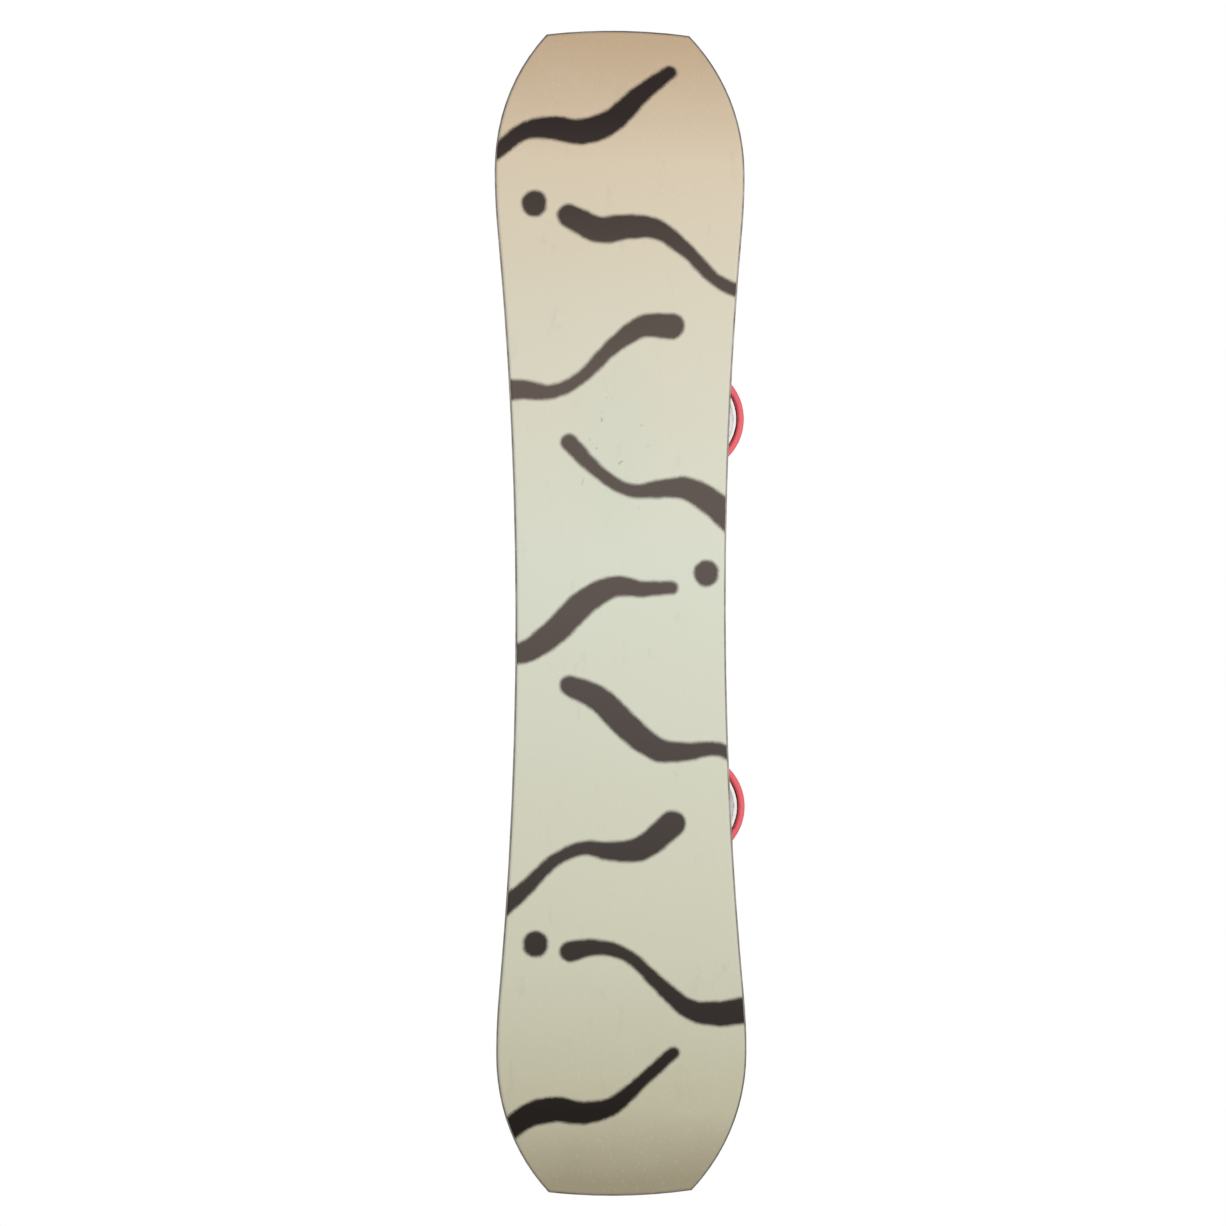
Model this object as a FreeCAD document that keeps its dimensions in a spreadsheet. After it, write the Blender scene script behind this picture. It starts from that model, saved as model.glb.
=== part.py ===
# Snowboard with two strap bindings, lying flat on its running base.
# Frame: origin at the middle of the running base, +X to the nose, +Y to the heel edge, +Z up. Millimetres.
# The front binding is modelled in its own frame: x across the boot to the nose, y to the heel, z up from
# the top sheet, turned by the stance angle. The rear binding is its mirror image about the board's middle.
import FreeCAD, Part
import os
import Sketcher

V = FreeCAD.Vector
Placement = FreeCAD.Placement
Rotation = FreeCAD.Rotation

SIZES = {
    # board outline, seen from above
    "board_length": 1420,
    "waist_width": 252.8,
    "tip_width": 301,
    "widest_at": 530,
    "blend_radius": 790,
    "tip_side_radius": 270,
    "corner_width": 174,
    # board side profile and layers
    "contact_length": 1000,
    "tip_rise": 40,
    "base_thickness": 1.5,
    "laminate_thickness": 0.9,
    "core_thickness": 5.6,
    "core_tip_thickness": 1.1,
    "topsheet_thickness": 0.6,
    "full_core_length": 600,
    "edge_width": 2,
    "sidewall_width": 9,
    # threaded inserts
    "insert_pitch": 20,
    "insert_rows": 40,
    "insert_radius": 4.5,
    "insert_flange_radius": 8,
    "insert_flange_height": 1,
    "insert_bore_radius": 2.5,
    # stance
    "stance_width": 512,
    "stance_angle": 12,
    # baseplate, gasket, disc and screws
    "fit_gap": 0.3,
    "gasket_thickness": 3,
    "floor_thickness": 7,
    "rail_thickness": 5.7,
    "baseplate_toe": 112,
    "baseplate_heel": 92,
    "rail_height": 18,
    "baseplate_corner": 9,
    "baseplate_taper": 42,
    "baseplate_heel_corner": 13,
    "baseplate_heel_chamfer": 4,
    "baseplate_toe_radius": 160,
    "heel_hollow_share": 0.263,
    "gasket_hollow_share": 0.53,
    "gasket_inset": 1.5,
    "gasket_heel_cut": 8,
    "rail_toe_cut": 34,
    "slot_pitch": 22,
    "slot_half_width": 5,
    "disc_margin": 3,
    "disc_ledge": 6,
    "disc_seat_gap": 0.4,
    "disc_flange_height": 3.5,
    "screw_radius": 2.4,
    "screw_head_radius": 5.6,
    "screw_head_height": 2.6,
    # footbed and toe ramp
    "footbed_margin": 2,
    "footbed_heel_cut": 26,
    "footbed_heel_run": 26,
    "footbed_slope": 28,
    "footbed_corner_radius": 12,
    "footbed_thickness": 4.5,
    "heel_pad_thickness": 11,
    "toe_ramp_margin": 8,
    "toe_ramp_overhang": 11,
    "toe_ramp_run": 33,
    "toe_ramp_height": 11,
    "toe_ramp_corner_radius": 9,
    # heel hoop
    "hoop_centre": 100,
    "hoop_half_width": 63,
    "hoop_reach": 56,
    "hoop_corner_radius": 48,
    "hoop_wall": 8,
    "hoop_bottom": 35.5,
    "hoop_top": 75,
    "hoop_arm_end": 48,
    # highback
    "pivot_back": 72,
    "pivot_up": 40,
    "pivot_radius": 4,
    "ear_radius": 13,
    "highback_gap": 1.5,
    "highback_wall": 5,
    "highback_corner_radius": 38,
    "highback_bottom": 34,
    "highback_top": 258,
    "highback_set_back": 9,
    "highback_taper": 8,
    "highback_pad_thickness": 7,
    "track_half_width": 9,
    "track_height": 2.2,
    "adjuster_half_width": 14,
    "adjuster_depth": 9,
    "adjuster_height": 34,
    "adjuster_gap": 0.4,
    # straps, shared
    "strap_clearance": 4.3,
    "strap_bolt_radius": 3,
    "connector_thickness": 3,
    "ladder_thickness": 2.5,
    "ladder_width": 20,
    "tooth_height": 1.3,
    "strap_pad_thickness": 8,
    "mount_end_radius": 12,
    "cheek_thickness": 2,
    "ratchet_width": 26.4,
    # ankle strap
    "ankle_back": 30,
    "ankle_up": 42,
    "ankle_lean": 63,
    "ankle_straight": 35,
    "ankle_height": 84,
    "ankle_corner_radius": 45,
    "ankle_pad_width": 50,
    # toe strap
    "toe_back": -62,
    "toe_up": 24,
    "toe_lean": 45,
    "toe_straight": 18,
    "toe_height": 60,
    "toe_corner_radius": 36,
    "toe_pad_width": 36,
}

PLANE_XY = "XY_Plane"
PLANE_XZ = "XZ_Plane"
PLANE_YZ = "YZ_Plane"

doc = FreeCAD.newDocument("snowboard")
sheet = doc.addObject("Spreadsheet::Sheet", "sizes")
for row, (alias, size) in enumerate(SIZES.items(), start=1):
    sheet.set(f"A{row}", alias)
    sheet.set(f"B{row}", str(size))
    sheet.setAlias(f"B{row}", alias)
doc.recompute()

nodes = []

# Heights and widths that several pieces share, as expressions of the sheet's cells.
LAYERS_BELOW_CORE = "(sizes.base_thickness + sizes.laminate_thickness)"
CORE_TOP = f"({LAYERS_BELOW_CORE} + sizes.core_thickness)"
CORE_TIP_TOP = f"({LAYERS_BELOW_CORE} + sizes.core_tip_thickness)"
LAYERS_ABOVE_CORE = "(sizes.laminate_thickness + sizes.topsheet_thickness)"
BOARD_TOP = f"({CORE_TOP} + {LAYERS_ABOVE_CORE})"
FLOOR_BOTTOM = "sizes.gasket_thickness"
FLOOR_TOP = "(sizes.gasket_thickness + sizes.floor_thickness)"
DISC_STEP = f"({FLOOR_TOP} - sizes.disc_flange_height)"
HOOP_INNER = "(sizes.hoop_half_width - sizes.hoop_wall)"
RAIL_OUTER = f"({HOOP_INNER} - sizes.fit_gap)"
RAIL_INNER = f"({RAIL_OUTER} - sizes.rail_thickness)"
EAR_OUTER = f"({HOOP_INNER} - sizes.highback_gap)"
EAR_INNER = f"({EAR_OUTER} - sizes.highback_wall)"
DISC_RADIUS = f"({RAIL_INNER} - sizes.disc_margin)"
DISC_STEP_RADIUS = f"({DISC_RADIUS} - sizes.disc_ledge)"
STRAP_HALF = f"({RAIL_OUTER} + sizes.strap_clearance)"
BEHIND_HIGHBACK = "(sizes.hoop_centre + sizes.hoop_reach - sizes.hoop_wall - sizes.highback_gap)"


def value(expression):
    """Number that an expression of the sheet gives now."""
    result = sheet.evalExpression(expression)
    return float(getattr(result, "Value", result))


def keep(thing, label):
    """Name an object as one of the finished pieces."""
    thing.Label = label
    nodes.append(thing)
    return thing


def pin(geometry, point, corner):
    """Rules that fix a sketch point at (x, y), both expressions of the sheet."""
    kinds = zip(("DistanceX", "DistanceY"), corner)
    return [(Sketcher.Constraint(kind, -1, 1, geometry, point, value(text)), text) for kind, text in kinds]


def radius_rule(geometry, text):
    """Rule that gives an arc or a circle its radius."""
    return (Sketcher.Constraint("Radius", geometry, value(text)), text)


def add_rules(sketch, rules):
    """Add constraints together, then bind those that have an expression."""
    first = sketch.ConstraintCount
    sketch.addConstraint([rule for rule, _ in rules])
    for number, (_, text) in enumerate(rules, start=first):
        if text:
            sketch.setExpression(f"Constraints[{number}]", text)


def arc_between(start, end, radius):
    """Counter-clockwise arc from start to end."""
    chord = end - start
    rise = radius - max(radius ** 2 - (chord.Length / 2) ** 2, 0) ** 0.5
    outward = V(chord.y, -chord.x, 0).normalize()
    return Part.Arc(start, (start + end) * 0.5 + outward * rise, end)


def draw_outline(sketch, corners, arcs=None):
    """Closed counter-clockwise outline; arcs maps an edge's number to (radius, +1 bulging or -1 hollow)."""
    arcs = arcs or {}
    points = [V(value(x), value(y), 0) for x, y in corners]
    count = len(points)
    first = sketch.GeometryCount
    edges = []
    starts = []
    for index, start in enumerate(points):
        end = points[(index + 1) % count]
        radius, side = arcs.get(index, (None, 1))
        if radius is None:
            edges.append(Part.LineSegment(start, end))
        elif side > 0:
            edges.append(arc_between(start, end, value(radius)))
        else:
            edges.append(arc_between(end, start, value(radius)))
        starts.append(1 if side > 0 else 2)
    sketch.addGeometry(edges, False)
    rules = []
    for index, corner in enumerate(corners):
        following = (index + 1) % count
        joined = Sketcher.Constraint(
            "Coincident", first + index, 3 - starts[index], first + following, starts[following])
        rules.append((joined, None))
        rules += pin(first + index, starts[index], corner)
        if index in arcs:
            rules.append(radius_rule(first + index, arcs[index][0]))
    add_rules(sketch, rules)


def draw_circles(sketch, centres, radius):
    """Circles of one radius round the given centres."""
    rules = []
    for x, y in centres:
        geometry = sketch.GeometryCount
        sketch.addGeometry(Part.Circle(V(value(x), value(y), 0), V(0, 0, 1), value(radius)), False)
        rules += pin(geometry, 3, (x, y))
        rules.append(radius_rule(geometry, radius))
    add_rules(sketch, rules)


def mirrored(corners):
    """The same corners on the other side of x = 0, in the order that keeps the outline closed."""
    return [(f"-({x})", y) for x, y in reversed(corners)]


def box_corners(low_x, high_x, low_y, high_y):
    """Corners of a rectangle."""
    return [(low_x, low_y), (high_x, low_y), (high_x, high_y), (low_x, high_y)]


def new_body(label):
    """Empty PartDesign body that becomes the named piece."""
    body = doc.addObject("PartDesign::Body", label)
    return keep(body, label)


def sketch_on(body, role, offset="0"):
    """Sketch on one of the body's own origin planes, moved along the plane's normal."""
    sketch = body.newObject("Sketcher::SketchObject", f"{body.Name}_sketch")
    plane = next(feature for feature in body.Origin.OriginFeatures if feature.Role == role)
    sketch.AttachmentSupport = [(plane, "")]
    sketch.MapMode = "FlatFace"
    sketch.setExpression("AttachmentOffset.Base.z", offset)
    return sketch


def pad(body, sketch, length, midplane=False):
    """Pad a sketch along its normal, or half each way."""
    feature = body.newObject("PartDesign::Pad", f"{body.Name}_pad")
    feature.Profile = sketch
    feature.Midplane = midplane
    feature.setExpression("Length", length)
    doc.recompute()
    return feature


def cut(body, sketch, depth=None):
    """Cut a sketch out of the body, both ways: right through, or over a given depth in all."""
    before = body.Shape.Volume
    feature = body.newObject("PartDesign::Pocket", f"{body.Name}_pocket")
    feature.Profile = sketch
    feature.Midplane = True
    if depth is None:
        feature.Type = "ThroughAll"
    else:
        feature.setExpression("Length", depth)
    doc.recompute()
    if not body.Shape.Volume < before:
        raise RuntimeError(f"{body.Label}: a pocket cuts nothing")
    return feature


def mirror_across(body, features):
    """Repeat features on the other side of the body's YZ plane."""
    feature = body.newObject("PartDesign::Mirrored", f"{body.Name}_mirrored")
    plane = next(item for item in body.Origin.OriginFeatures if item.Role == PLANE_YZ)
    feature.Originals = features
    feature.MirrorPlane = (plane, [""])
    body.Tip = feature
    doc.recompute()
    return feature


def round_edges(body, radius, chosen):
    """Fillet the edges of the body that the test picks out."""
    tip = body.Tip
    names = [f"Edge{number}" for number, edge in enumerate(tip.Shape.Edges, start=1) if chosen(edge)]
    if not names:
        raise RuntimeError(f"{body.Label}: no edge to round")
    feature = body.newObject("PartDesign::Fillet", f"{body.Name}_fillet")
    feature.Base = (tip, names)
    feature.setExpression("Radius", radius)
    doc.recompute()
    return feature


def along(edge, axis):
    """True for a straight edge parallel to an axis."""
    if not isinstance(edge.Curve, Part.Line):
        return False
    direction = edge.Curve.Direction
    return abs(abs(direction.dot(axis)) - 1) < 1e-6


# ---------------------------------------------------------------- board


def board_outline(name, inset):
    """Plan of the board, drawn in by an inset all round.

    A long sidecut arc, a blend arc, the arc round the tip's side and the bowed end, on each quarter."""
    sketch = doc.addObject("Sketcher::SketchObject", name)
    waist = "(sizes.waist_width / 2)"
    widest = "(sizes.tip_width / 2)"
    flare = f"({widest} - {waist})"
    # the sidecut circle and the blend circle touch, and the blend circle is level where the board is widest
    radii_sum = f"((sizes.widest_at ^ 2 + {flare} ^ 2) / (2 * {flare}))"
    sidecut = f"({radii_sum} - sizes.blend_radius + {inset})"
    touch_x = f"(sizes.widest_at * {sidecut} / {radii_sum})"
    sidecut_centre = f"({waist} + {radii_sum} - sizes.blend_radius)"
    touch_y = f"({sidecut_centre} - ({radii_sum} - {flare}) * {sidecut} / {radii_sum})"
    corner_drop = f"(sizes.corner_width / 2 - {widest} + sizes.tip_side_radius)"
    corner_run = f"(sqrt(sizes.tip_side_radius ^ 2 - {corner_drop} ^ 2) - {inset})"
    corner_x = f"(sizes.widest_at + {corner_run})"
    side_radius = f"(sizes.tip_side_radius - {inset})"
    corner_y = f"({widest} - sizes.tip_side_radius + sqrt({side_radius} ^ 2 - {corner_run} ^ 2))"
    bow = f"(sizes.board_length / 2 - {inset} - {corner_x})"
    end_radius = f"(({corner_y} ^ 2 + {bow} ^ 2) / (2 * {bow}))"
    blend = f"(sizes.blend_radius - {inset})"
    quarter = [(touch_x, touch_y), ("sizes.widest_at", f"({widest} - {inset})"), (corner_x, corner_y)]
    nose = [(x, f"-({y})") for x, y in quarter] + list(reversed(quarter))
    tail = [(f"-({x})", f"-({y})") for x, y in nose]
    arcs = {0: (blend, 1), 1: (side_radius, 1), 2: (end_radius, 1),
            3: (side_radius, 1), 4: (blend, 1), 5: (sidecut, -1)}
    arcs.update({edge + 6: arc for edge, arc in list(arcs.items())})
    draw_outline(sketch, nose + tail, arcs)
    return sketch


def prism(profile, low, high, name="prism"):
    """Profile in the XY plane, extruded up from low to high."""
    feature = doc.addObject("Part::Extrusion", name)
    feature.Base = profile
    feature.DirMode = "Custom"
    feature.Dir = V(0, 0, 1)
    feature.Solid = True
    feature.setExpression("LengthFwd", high)
    feature.setExpression("LengthRev", f"-({low})")
    return feature


def layer_band(name, low, low_tip, high, high_tip):
    """Side view of one layer, flat between the contact points and curved up at both ends, made board wide.

    low and high are heights over the running base in the middle, low_tip and high_tip at the ends."""
    sketch = doc.addObject("Sketcher::SketchObject", f"{name}_profile")
    sketch.Placement = Placement(V(0, 0, 0), Rotation(V(1, 0, 0), 90))
    contact = "(sizes.contact_length / 2)"
    full = "(sizes.full_core_length / 2)"
    run = f"(sizes.board_length / 2 - {contact})"
    radius = f"(({run} ^ 2 + sizes.tip_rise ^ 2) / (2 * sizes.tip_rise))"
    end = f"({run} + 2 * sizes.edge_width)"

    def half(height, tip_height):
        lifted = f"({radius} - {tip_height})"
        return [(full, height), (contact, tip_height),
                (f"({contact} + {end})", f"({radius} - sqrt({lifted} ^ 2 - {end} ^ 2))")]

    lower = half(low, low_tip)
    upper = list(reversed(half(high, high_tip)))
    corners = lower + upper
    corners += [(f"-({x})", y) for x, y in upper[::-1]] + [(f"-({x})", y) for x, y in lower[::-1]]
    low_radius = f"({radius} - {low_tip})"
    high_radius = f"({radius} - {high_tip})"
    arcs = {1: (low_radius, 1), 3: (high_radius, -1), 7: (high_radius, -1), 9: (low_radius, 1)}
    draw_outline(sketch, corners, arcs)
    band = doc.addObject("Part::Extrusion", f"{name}_band")
    band.Base = sketch
    band.DirMode = "Custom"
    band.Dir = V(0, -1, 0)
    band.Symmetric = True
    band.Solid = True
    band.setExpression("LengthFwd", "sizes.tip_width + 4 * sizes.edge_width")
    return band


def common(name, shapes):
    """What the shapes share."""
    feature = doc.addObject("Part::MultiCommon", name)
    feature.Shapes = shapes
    return feature


def minus(name, base, tool):
    """Base with the tool cut away."""
    feature = doc.addObject("Part::Cut", name)
    feature.Base = base
    feature.Tool = tool
    return feature


def insert_centres():
    """Two rows of six inserts under each foot; the disc sits over the two outermost columns."""
    centres = []
    for side in ("", "-"):
        for column in range(6):
            x = f"{side}(sizes.stance_width / 2 + ({column} - 4.5) * sizes.insert_pitch)"
            for row in ("", "-"):
                centres.append((x, f"{row}sizes.insert_rows / 2"))
    return centres


def insert_prism(name, radius, low, high):
    """Cylinders at every insert."""
    sketch = doc.addObject("Sketcher::SketchObject", f"{name}_circles")
    draw_circles(sketch, insert_centres(), radius)
    return prism(sketch, low, high, name)


def build_board():
    """Base, steel edge, laminates, core, sidewalls, top sheet and inserts."""
    top = f"(sizes.tip_rise + {BOARD_TOP} * 2)"
    whole_plan = prism(board_outline("board_outline", "0"), "-1", top)
    base_plan = prism(board_outline("base_outline", "sizes.edge_width"), "-1", top)
    core_plan = prism(board_outline("core_outline", "sizes.sidewall_width"), "-1", top)

    base_top = "sizes.base_thickness"
    base_band = layer_band("base", "0", "0", base_top, base_top)
    keep(common("base", [base_band, base_plan]), "base")
    whole_base = common("whole_base", [base_band, whole_plan])
    keep(minus("steel_edge", whole_base, base_plan), "steel_edge")

    lower_band = layer_band("lower_laminate", base_top, base_top, LAYERS_BELOW_CORE, LAYERS_BELOW_CORE)
    keep(common("lower_laminate", [lower_band, whole_plan]), "lower_laminate")

    core_band = layer_band("core", LAYERS_BELOW_CORE, LAYERS_BELOW_CORE, CORE_TOP, CORE_TIP_TOP)
    whole_core = common("whole_core", [core_band, whole_plan])
    keep(minus("sidewalls", whole_core, core_plan), "sidewalls")

    glass_top = f"({CORE_TOP} + sizes.laminate_thickness)"
    glass_tip = f"({CORE_TIP_TOP} + sizes.laminate_thickness)"
    tip_top = f"({CORE_TIP_TOP} + {LAYERS_ABOVE_CORE})"
    upper_band = layer_band("upper_laminate", CORE_TOP, CORE_TIP_TOP, glass_top, glass_tip)
    sheet_band = layer_band("topsheet", glass_top, glass_tip, BOARD_TOP, tip_top)

    barrels = insert_prism("insert_barrels", "sizes.insert_radius", LAYERS_BELOW_CORE, BOARD_TOP)
    flange_top = f"({LAYERS_BELOW_CORE} + sizes.insert_flange_height)"
    flanges = insert_prism("insert_flanges", "sizes.insert_flange_radius", LAYERS_BELOW_CORE, flange_top)
    bores = insert_prism("insert_bores", "sizes.insert_bore_radius", flange_top, f"({BOARD_TOP} + 1)")
    blanks = doc.addObject("Part::MultiFuse", "insert_blanks")
    blanks.Shapes = [barrels, flanges]
    keep(minus("inserts", blanks, bores), "inserts")

    core = minus("core", common("core_blank", [core_band, core_plan]), blanks)
    keep(core, "core")
    upper = minus("upper_laminate", common("upper_blank", [upper_band, whole_plan]), barrels)
    keep(upper, "upper_laminate")
    topsheet = minus("topsheet", common("topsheet_blank", [sheet_band, whole_plan]), barrels)
    keep(topsheet, "topsheet")
    doc.recompute()


# ---------------------------------------------------------------- binding base


def arc_radius(half_chord, depth):
    """Radius of an arc from half its chord and the depth it bows by: (chord^2 + depth^2) / (2 depth)."""
    return f"(({half_chord} * {half_chord} + {depth} * {depth}) / (2 * {depth}))"


def build_gasket():
    """Foam pad between the baseplate and the top sheet, open where the disc sits."""
    body = new_body("front_gasket")
    sketch = sketch_on(body, PLANE_XY)
    half = f"({RAIL_OUTER} - sizes.gasket_inset)"
    toe = "-(sizes.baseplate_toe - sizes.gasket_inset)"
    taper = "-(sizes.baseplate_toe - sizes.baseplate_taper)"
    heel = "(sizes.baseplate_heel - sizes.gasket_heel_cut)"
    middle = f"({DISC_STEP_RADIUS} - sizes.baseplate_heel_chamfer)"
    right = [(f"({half} - sizes.baseplate_corner)", toe), (half, taper), (half, heel), (middle, heel)]
    hollow = f"(({heel} - {DISC_RADIUS}) * sizes.gasket_hollow_share)"
    draw_outline(sketch, right + mirrored(right), {3: (arc_radius(middle, hollow), -1)})
    draw_circles(sketch, [("0", "0")], DISC_RADIUS)
    pad(body, sketch, "sizes.gasket_thickness")


def build_baseplate():
    """Floor plate with side rails, a stepped round seat for the disc and bosses for the strap bolts."""
    body = new_body("front_baseplate")
    toe = "-sizes.baseplate_toe"
    heel = "sizes.baseplate_heel"
    taper = "-(sizes.baseplate_toe - sizes.baseplate_taper)"
    heel_side = f"({heel} - sizes.baseplate_heel_chamfer)"
    floor = sketch_on(body, PLANE_XY, FLOOR_BOTTOM)
    right = [(f"({RAIL_OUTER} - sizes.baseplate_corner)", toe), (RAIL_OUTER, taper), (RAIL_OUTER, heel_side)]
    half_hollow = f"({RAIL_OUTER} - sizes.baseplate_heel_corner)"
    right += [(half_hollow, heel)]
    hollow = f"({heel} * sizes.heel_hollow_share)"
    arcs = {3: (arc_radius(half_hollow, hollow), -1), 7: ("sizes.baseplate_toe_radius", 1)}
    draw_outline(floor, right + mirrored(right), arcs)
    pad(body, floor, "sizes.floor_thickness")

    rail_top = "(sizes.ankle_up + sizes.mount_end_radius + 2)"
    rails = sketch_on(body, PLANE_XY, FLOOR_BOTTOM)
    rail_toe = "-(sizes.baseplate_toe - sizes.rail_toe_cut)"
    strip = box_corners(RAIL_INNER, RAIL_OUTER, rail_toe, heel_side)
    draw_outline(rails, strip)
    draw_outline(rails, mirrored(strip))
    pad(body, rails, f"({rail_top} - {FLOOR_BOTTOM})")

    # side view: what stands above the rails' top line is cut away
    boss = "sizes.mount_end_radius"
    toe_top = f"(sizes.toe_up + {boss})"
    ankle_top = f"(sizes.ankle_up + {boss})"
    above = "(sizes.ankle_up + 3 * sizes.mount_end_radius)"
    rail = "sizes.rail_height"
    low_heel = "(sizes.pivot_up - 16)"
    ramp = 16  # level run of each slope between a boss and the rail's top line
    toe_front, toe_rear = f"(sizes.toe_back - {boss})", f"(sizes.toe_back + {boss})"
    ankle_front, ankle_rear = f"(sizes.ankle_back - {boss})", f"(sizes.ankle_back + {boss})"
    beyond_toe, beyond_heel = f"({toe_front} - {ramp})", f"({heel} + 2 * {boss})"
    line = [(beyond_toe, FLOOR_TOP), (f"({toe_front} - 6)", FLOOR_TOP)]
    line += [(toe_front, toe_top), (toe_rear, toe_top)]
    line += [(f"({toe_rear} + {ramp} + 4)", rail), (f"({ankle_front} - {ramp} - 6)", rail)]
    line += [(ankle_front, ankle_top), (ankle_rear, ankle_top), (f"({ankle_rear} + {ramp})", low_heel)]
    line += [(beyond_heel, low_heel), (beyond_heel, above), (beyond_toe, above)]
    silhouette = sketch_on(body, PLANE_YZ)
    draw_outline(silhouette, line)
    cut(body, silhouette)

    seat = sketch_on(body, PLANE_XY, FLOOR_BOTTOM)
    draw_circles(seat, [("0", "0")], DISC_STEP_RADIUS)
    cut(body, seat)
    step = sketch_on(body, PLANE_XY, FLOOR_TOP)
    draw_circles(step, [("0", "0")], f"({DISC_RADIUS} - sizes.disc_seat_gap)")
    cut(body, step, "sizes.disc_flange_height * 2")

    # lightening slots fore and aft of the disc
    slots = sketch_on(body, PLANE_XY, FLOOR_TOP)
    toe_slots = (f"({toe} + 20)", f"-({DISC_RADIUS} + 16)")
    behind_disc = f"({heel} - {hollow} - {DISC_RADIUS})"
    heel_slots = (f"({DISC_RADIUS} + {behind_disc} * 0.55)", f"({DISC_RADIUS} + {behind_disc} * 0.82)")
    for low, high in (toe_slots, heel_slots):
        for column in (-1, 0, 1):
            x = f"{column} * sizes.slot_pitch"
            strip = box_corners(f"({x} - sizes.slot_half_width)", f"({x} + sizes.slot_half_width)", low, high)
            draw_outline(slots, strip)
    cut(body, slots, "sizes.floor_thickness")

    holes = sketch_on(body, PLANE_YZ)
    mounts = [("sizes.ankle_back", "sizes.ankle_up"), ("sizes.toe_back", "sizes.toe_up")]
    draw_circles(holes, mounts + hoop_screw_centres(), "(sizes.strap_bolt_radius + 0.1)")
    cut(body, holes)


def hoop_screw_centres():
    """Two screws through each arm of the hoop, in the side view."""
    level = "(sizes.rail_height - 2)"
    return [("(sizes.hoop_arm_end + 9)", level), ("(sizes.hoop_arm_end + 31)", level)]


def build_disc():
    """Stepped round plate that clamps the baseplate; it stays square to the board's insert rows."""
    body = new_body("front_disc")
    lower = sketch_on(body, PLANE_XY, f"({FLOOR_BOTTOM} - sizes.gasket_thickness)")
    draw_circles(lower, [("0", "0")], f"({DISC_STEP_RADIUS} - sizes.fit_gap)")
    pad(body, lower, DISC_STEP)
    flange = sketch_on(body, PLANE_XY, DISC_STEP)
    draw_circles(flange, [("0", "0")], f"({DISC_RADIUS} - sizes.disc_seat_gap - sizes.fit_gap)")
    pad(body, flange, "sizes.disc_flange_height")
    holes = sketch_on(body, PLANE_XY)
    draw_circles(holes, disc_screw_centres(), "(sizes.screw_radius + 0.6)")
    cut(body, holes)
    heads = sketch_on(body, PLANE_XY, FLOOR_TOP)
    draw_circles(heads, disc_screw_centres(), "(sizes.screw_head_radius + 0.4)")
    cut(body, heads, "sizes.screw_head_height * 2 + 0.4")


def disc_screw_centres():
    """Four inserts under the disc."""
    signs = ("", "-")
    return [(f"{x}sizes.insert_pitch / 2", f"{y}sizes.insert_rows / 2") for x in signs for y in signs]


def build_disc_screws():
    """Four machine screws from the disc down into the inserts."""
    body = new_body("front_disc_screws")
    depth = "(sizes.topsheet_thickness + sizes.laminate_thickness + sizes.core_thickness * 0.5)"
    shanks = sketch_on(body, PLANE_XY, f"-{depth}")
    draw_circles(shanks, disc_screw_centres(), "sizes.screw_radius")
    head_bottom = f"({FLOOR_TOP} - sizes.screw_head_height - 0.2)"
    pad(body, shanks, f"({head_bottom} + {depth})")
    heads = sketch_on(body, PLANE_XY, head_bottom)
    draw_circles(heads, disc_screw_centres(), "sizes.screw_head_radius")
    pad(body, heads, "sizes.screw_head_height")
    sockets = sketch_on(body, PLANE_XY, f"({head_bottom} + sizes.screw_head_height)")
    draw_circles(sockets, disc_screw_centres(), "(sizes.screw_head_radius * 0.45)")
    cut(body, sockets, "sizes.screw_head_height * 1.2")


def build_footbed():
    """Cushion under the boot, thicker at the heel, in the shape of the baseplate's floor."""
    body = new_body("front_footbed")
    side = sketch_on(body, PLANE_YZ)
    front = "-(sizes.baseplate_toe - sizes.rail_toe_cut)"
    back = "(sizes.baseplate_heel - sizes.footbed_heel_cut)"
    crest = f"({back} - sizes.footbed_heel_run)"
    top = f"({FLOOR_TOP} + sizes.footbed_thickness)"
    heel_top = f"({FLOOR_TOP} + sizes.heel_pad_thickness)"
    corners = [(front, FLOOR_TOP), (back, FLOOR_TOP), (back, heel_top), (crest, heel_top)]
    corners += [(f"({crest} - sizes.footbed_slope)", top), (front, top)]
    draw_outline(side, corners)
    pad(body, side, f"({RAIL_INNER} - sizes.footbed_margin) * 2", midplane=True)
    upright = V(0, 0, 1)
    round_edges(body, "sizes.footbed_corner_radius", lambda edge: along(edge, upright))


def build_toe_ramp():
    """Wedge under the boot's toe at the front of the baseplate."""
    body = new_body("front_toe_ramp")
    side = sketch_on(body, PLANE_YZ)
    reach = "(-sizes.baseplate_toe - sizes.toe_ramp_overhang)"
    back = "(-sizes.baseplate_toe + sizes.toe_ramp_run)"
    rise = f"({FLOOR_TOP} + sizes.toe_ramp_height * 0.45)"
    crest = f"({FLOOR_TOP} + sizes.toe_ramp_height)"
    corners = [(reach, f"({FLOOR_TOP} - 1)"), ("(-sizes.baseplate_toe - 8)", FLOOR_TOP), (back, FLOOR_TOP)]
    corners += [(back, rise), ("(-sizes.baseplate_toe + 12)", crest), (reach, f"({crest} - 2)")]
    draw_outline(side, corners)
    pad(body, side, f"({RAIL_INNER} - sizes.toe_ramp_margin) * 2", midplane=True)
    upright = V(0, 0, 1)
    toe = value("-sizes.baseplate_toe")
    round_edges(body, "sizes.toe_ramp_corner_radius",
                lambda edge: along(edge, upright) and edge.CenterOfMass.y < toe)


# ---------------------------------------------------------------- arches

# An arch is a three-centre curve over x = 0: a straight leg up to its shoulder, a corner arc and a crown arc.


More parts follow.
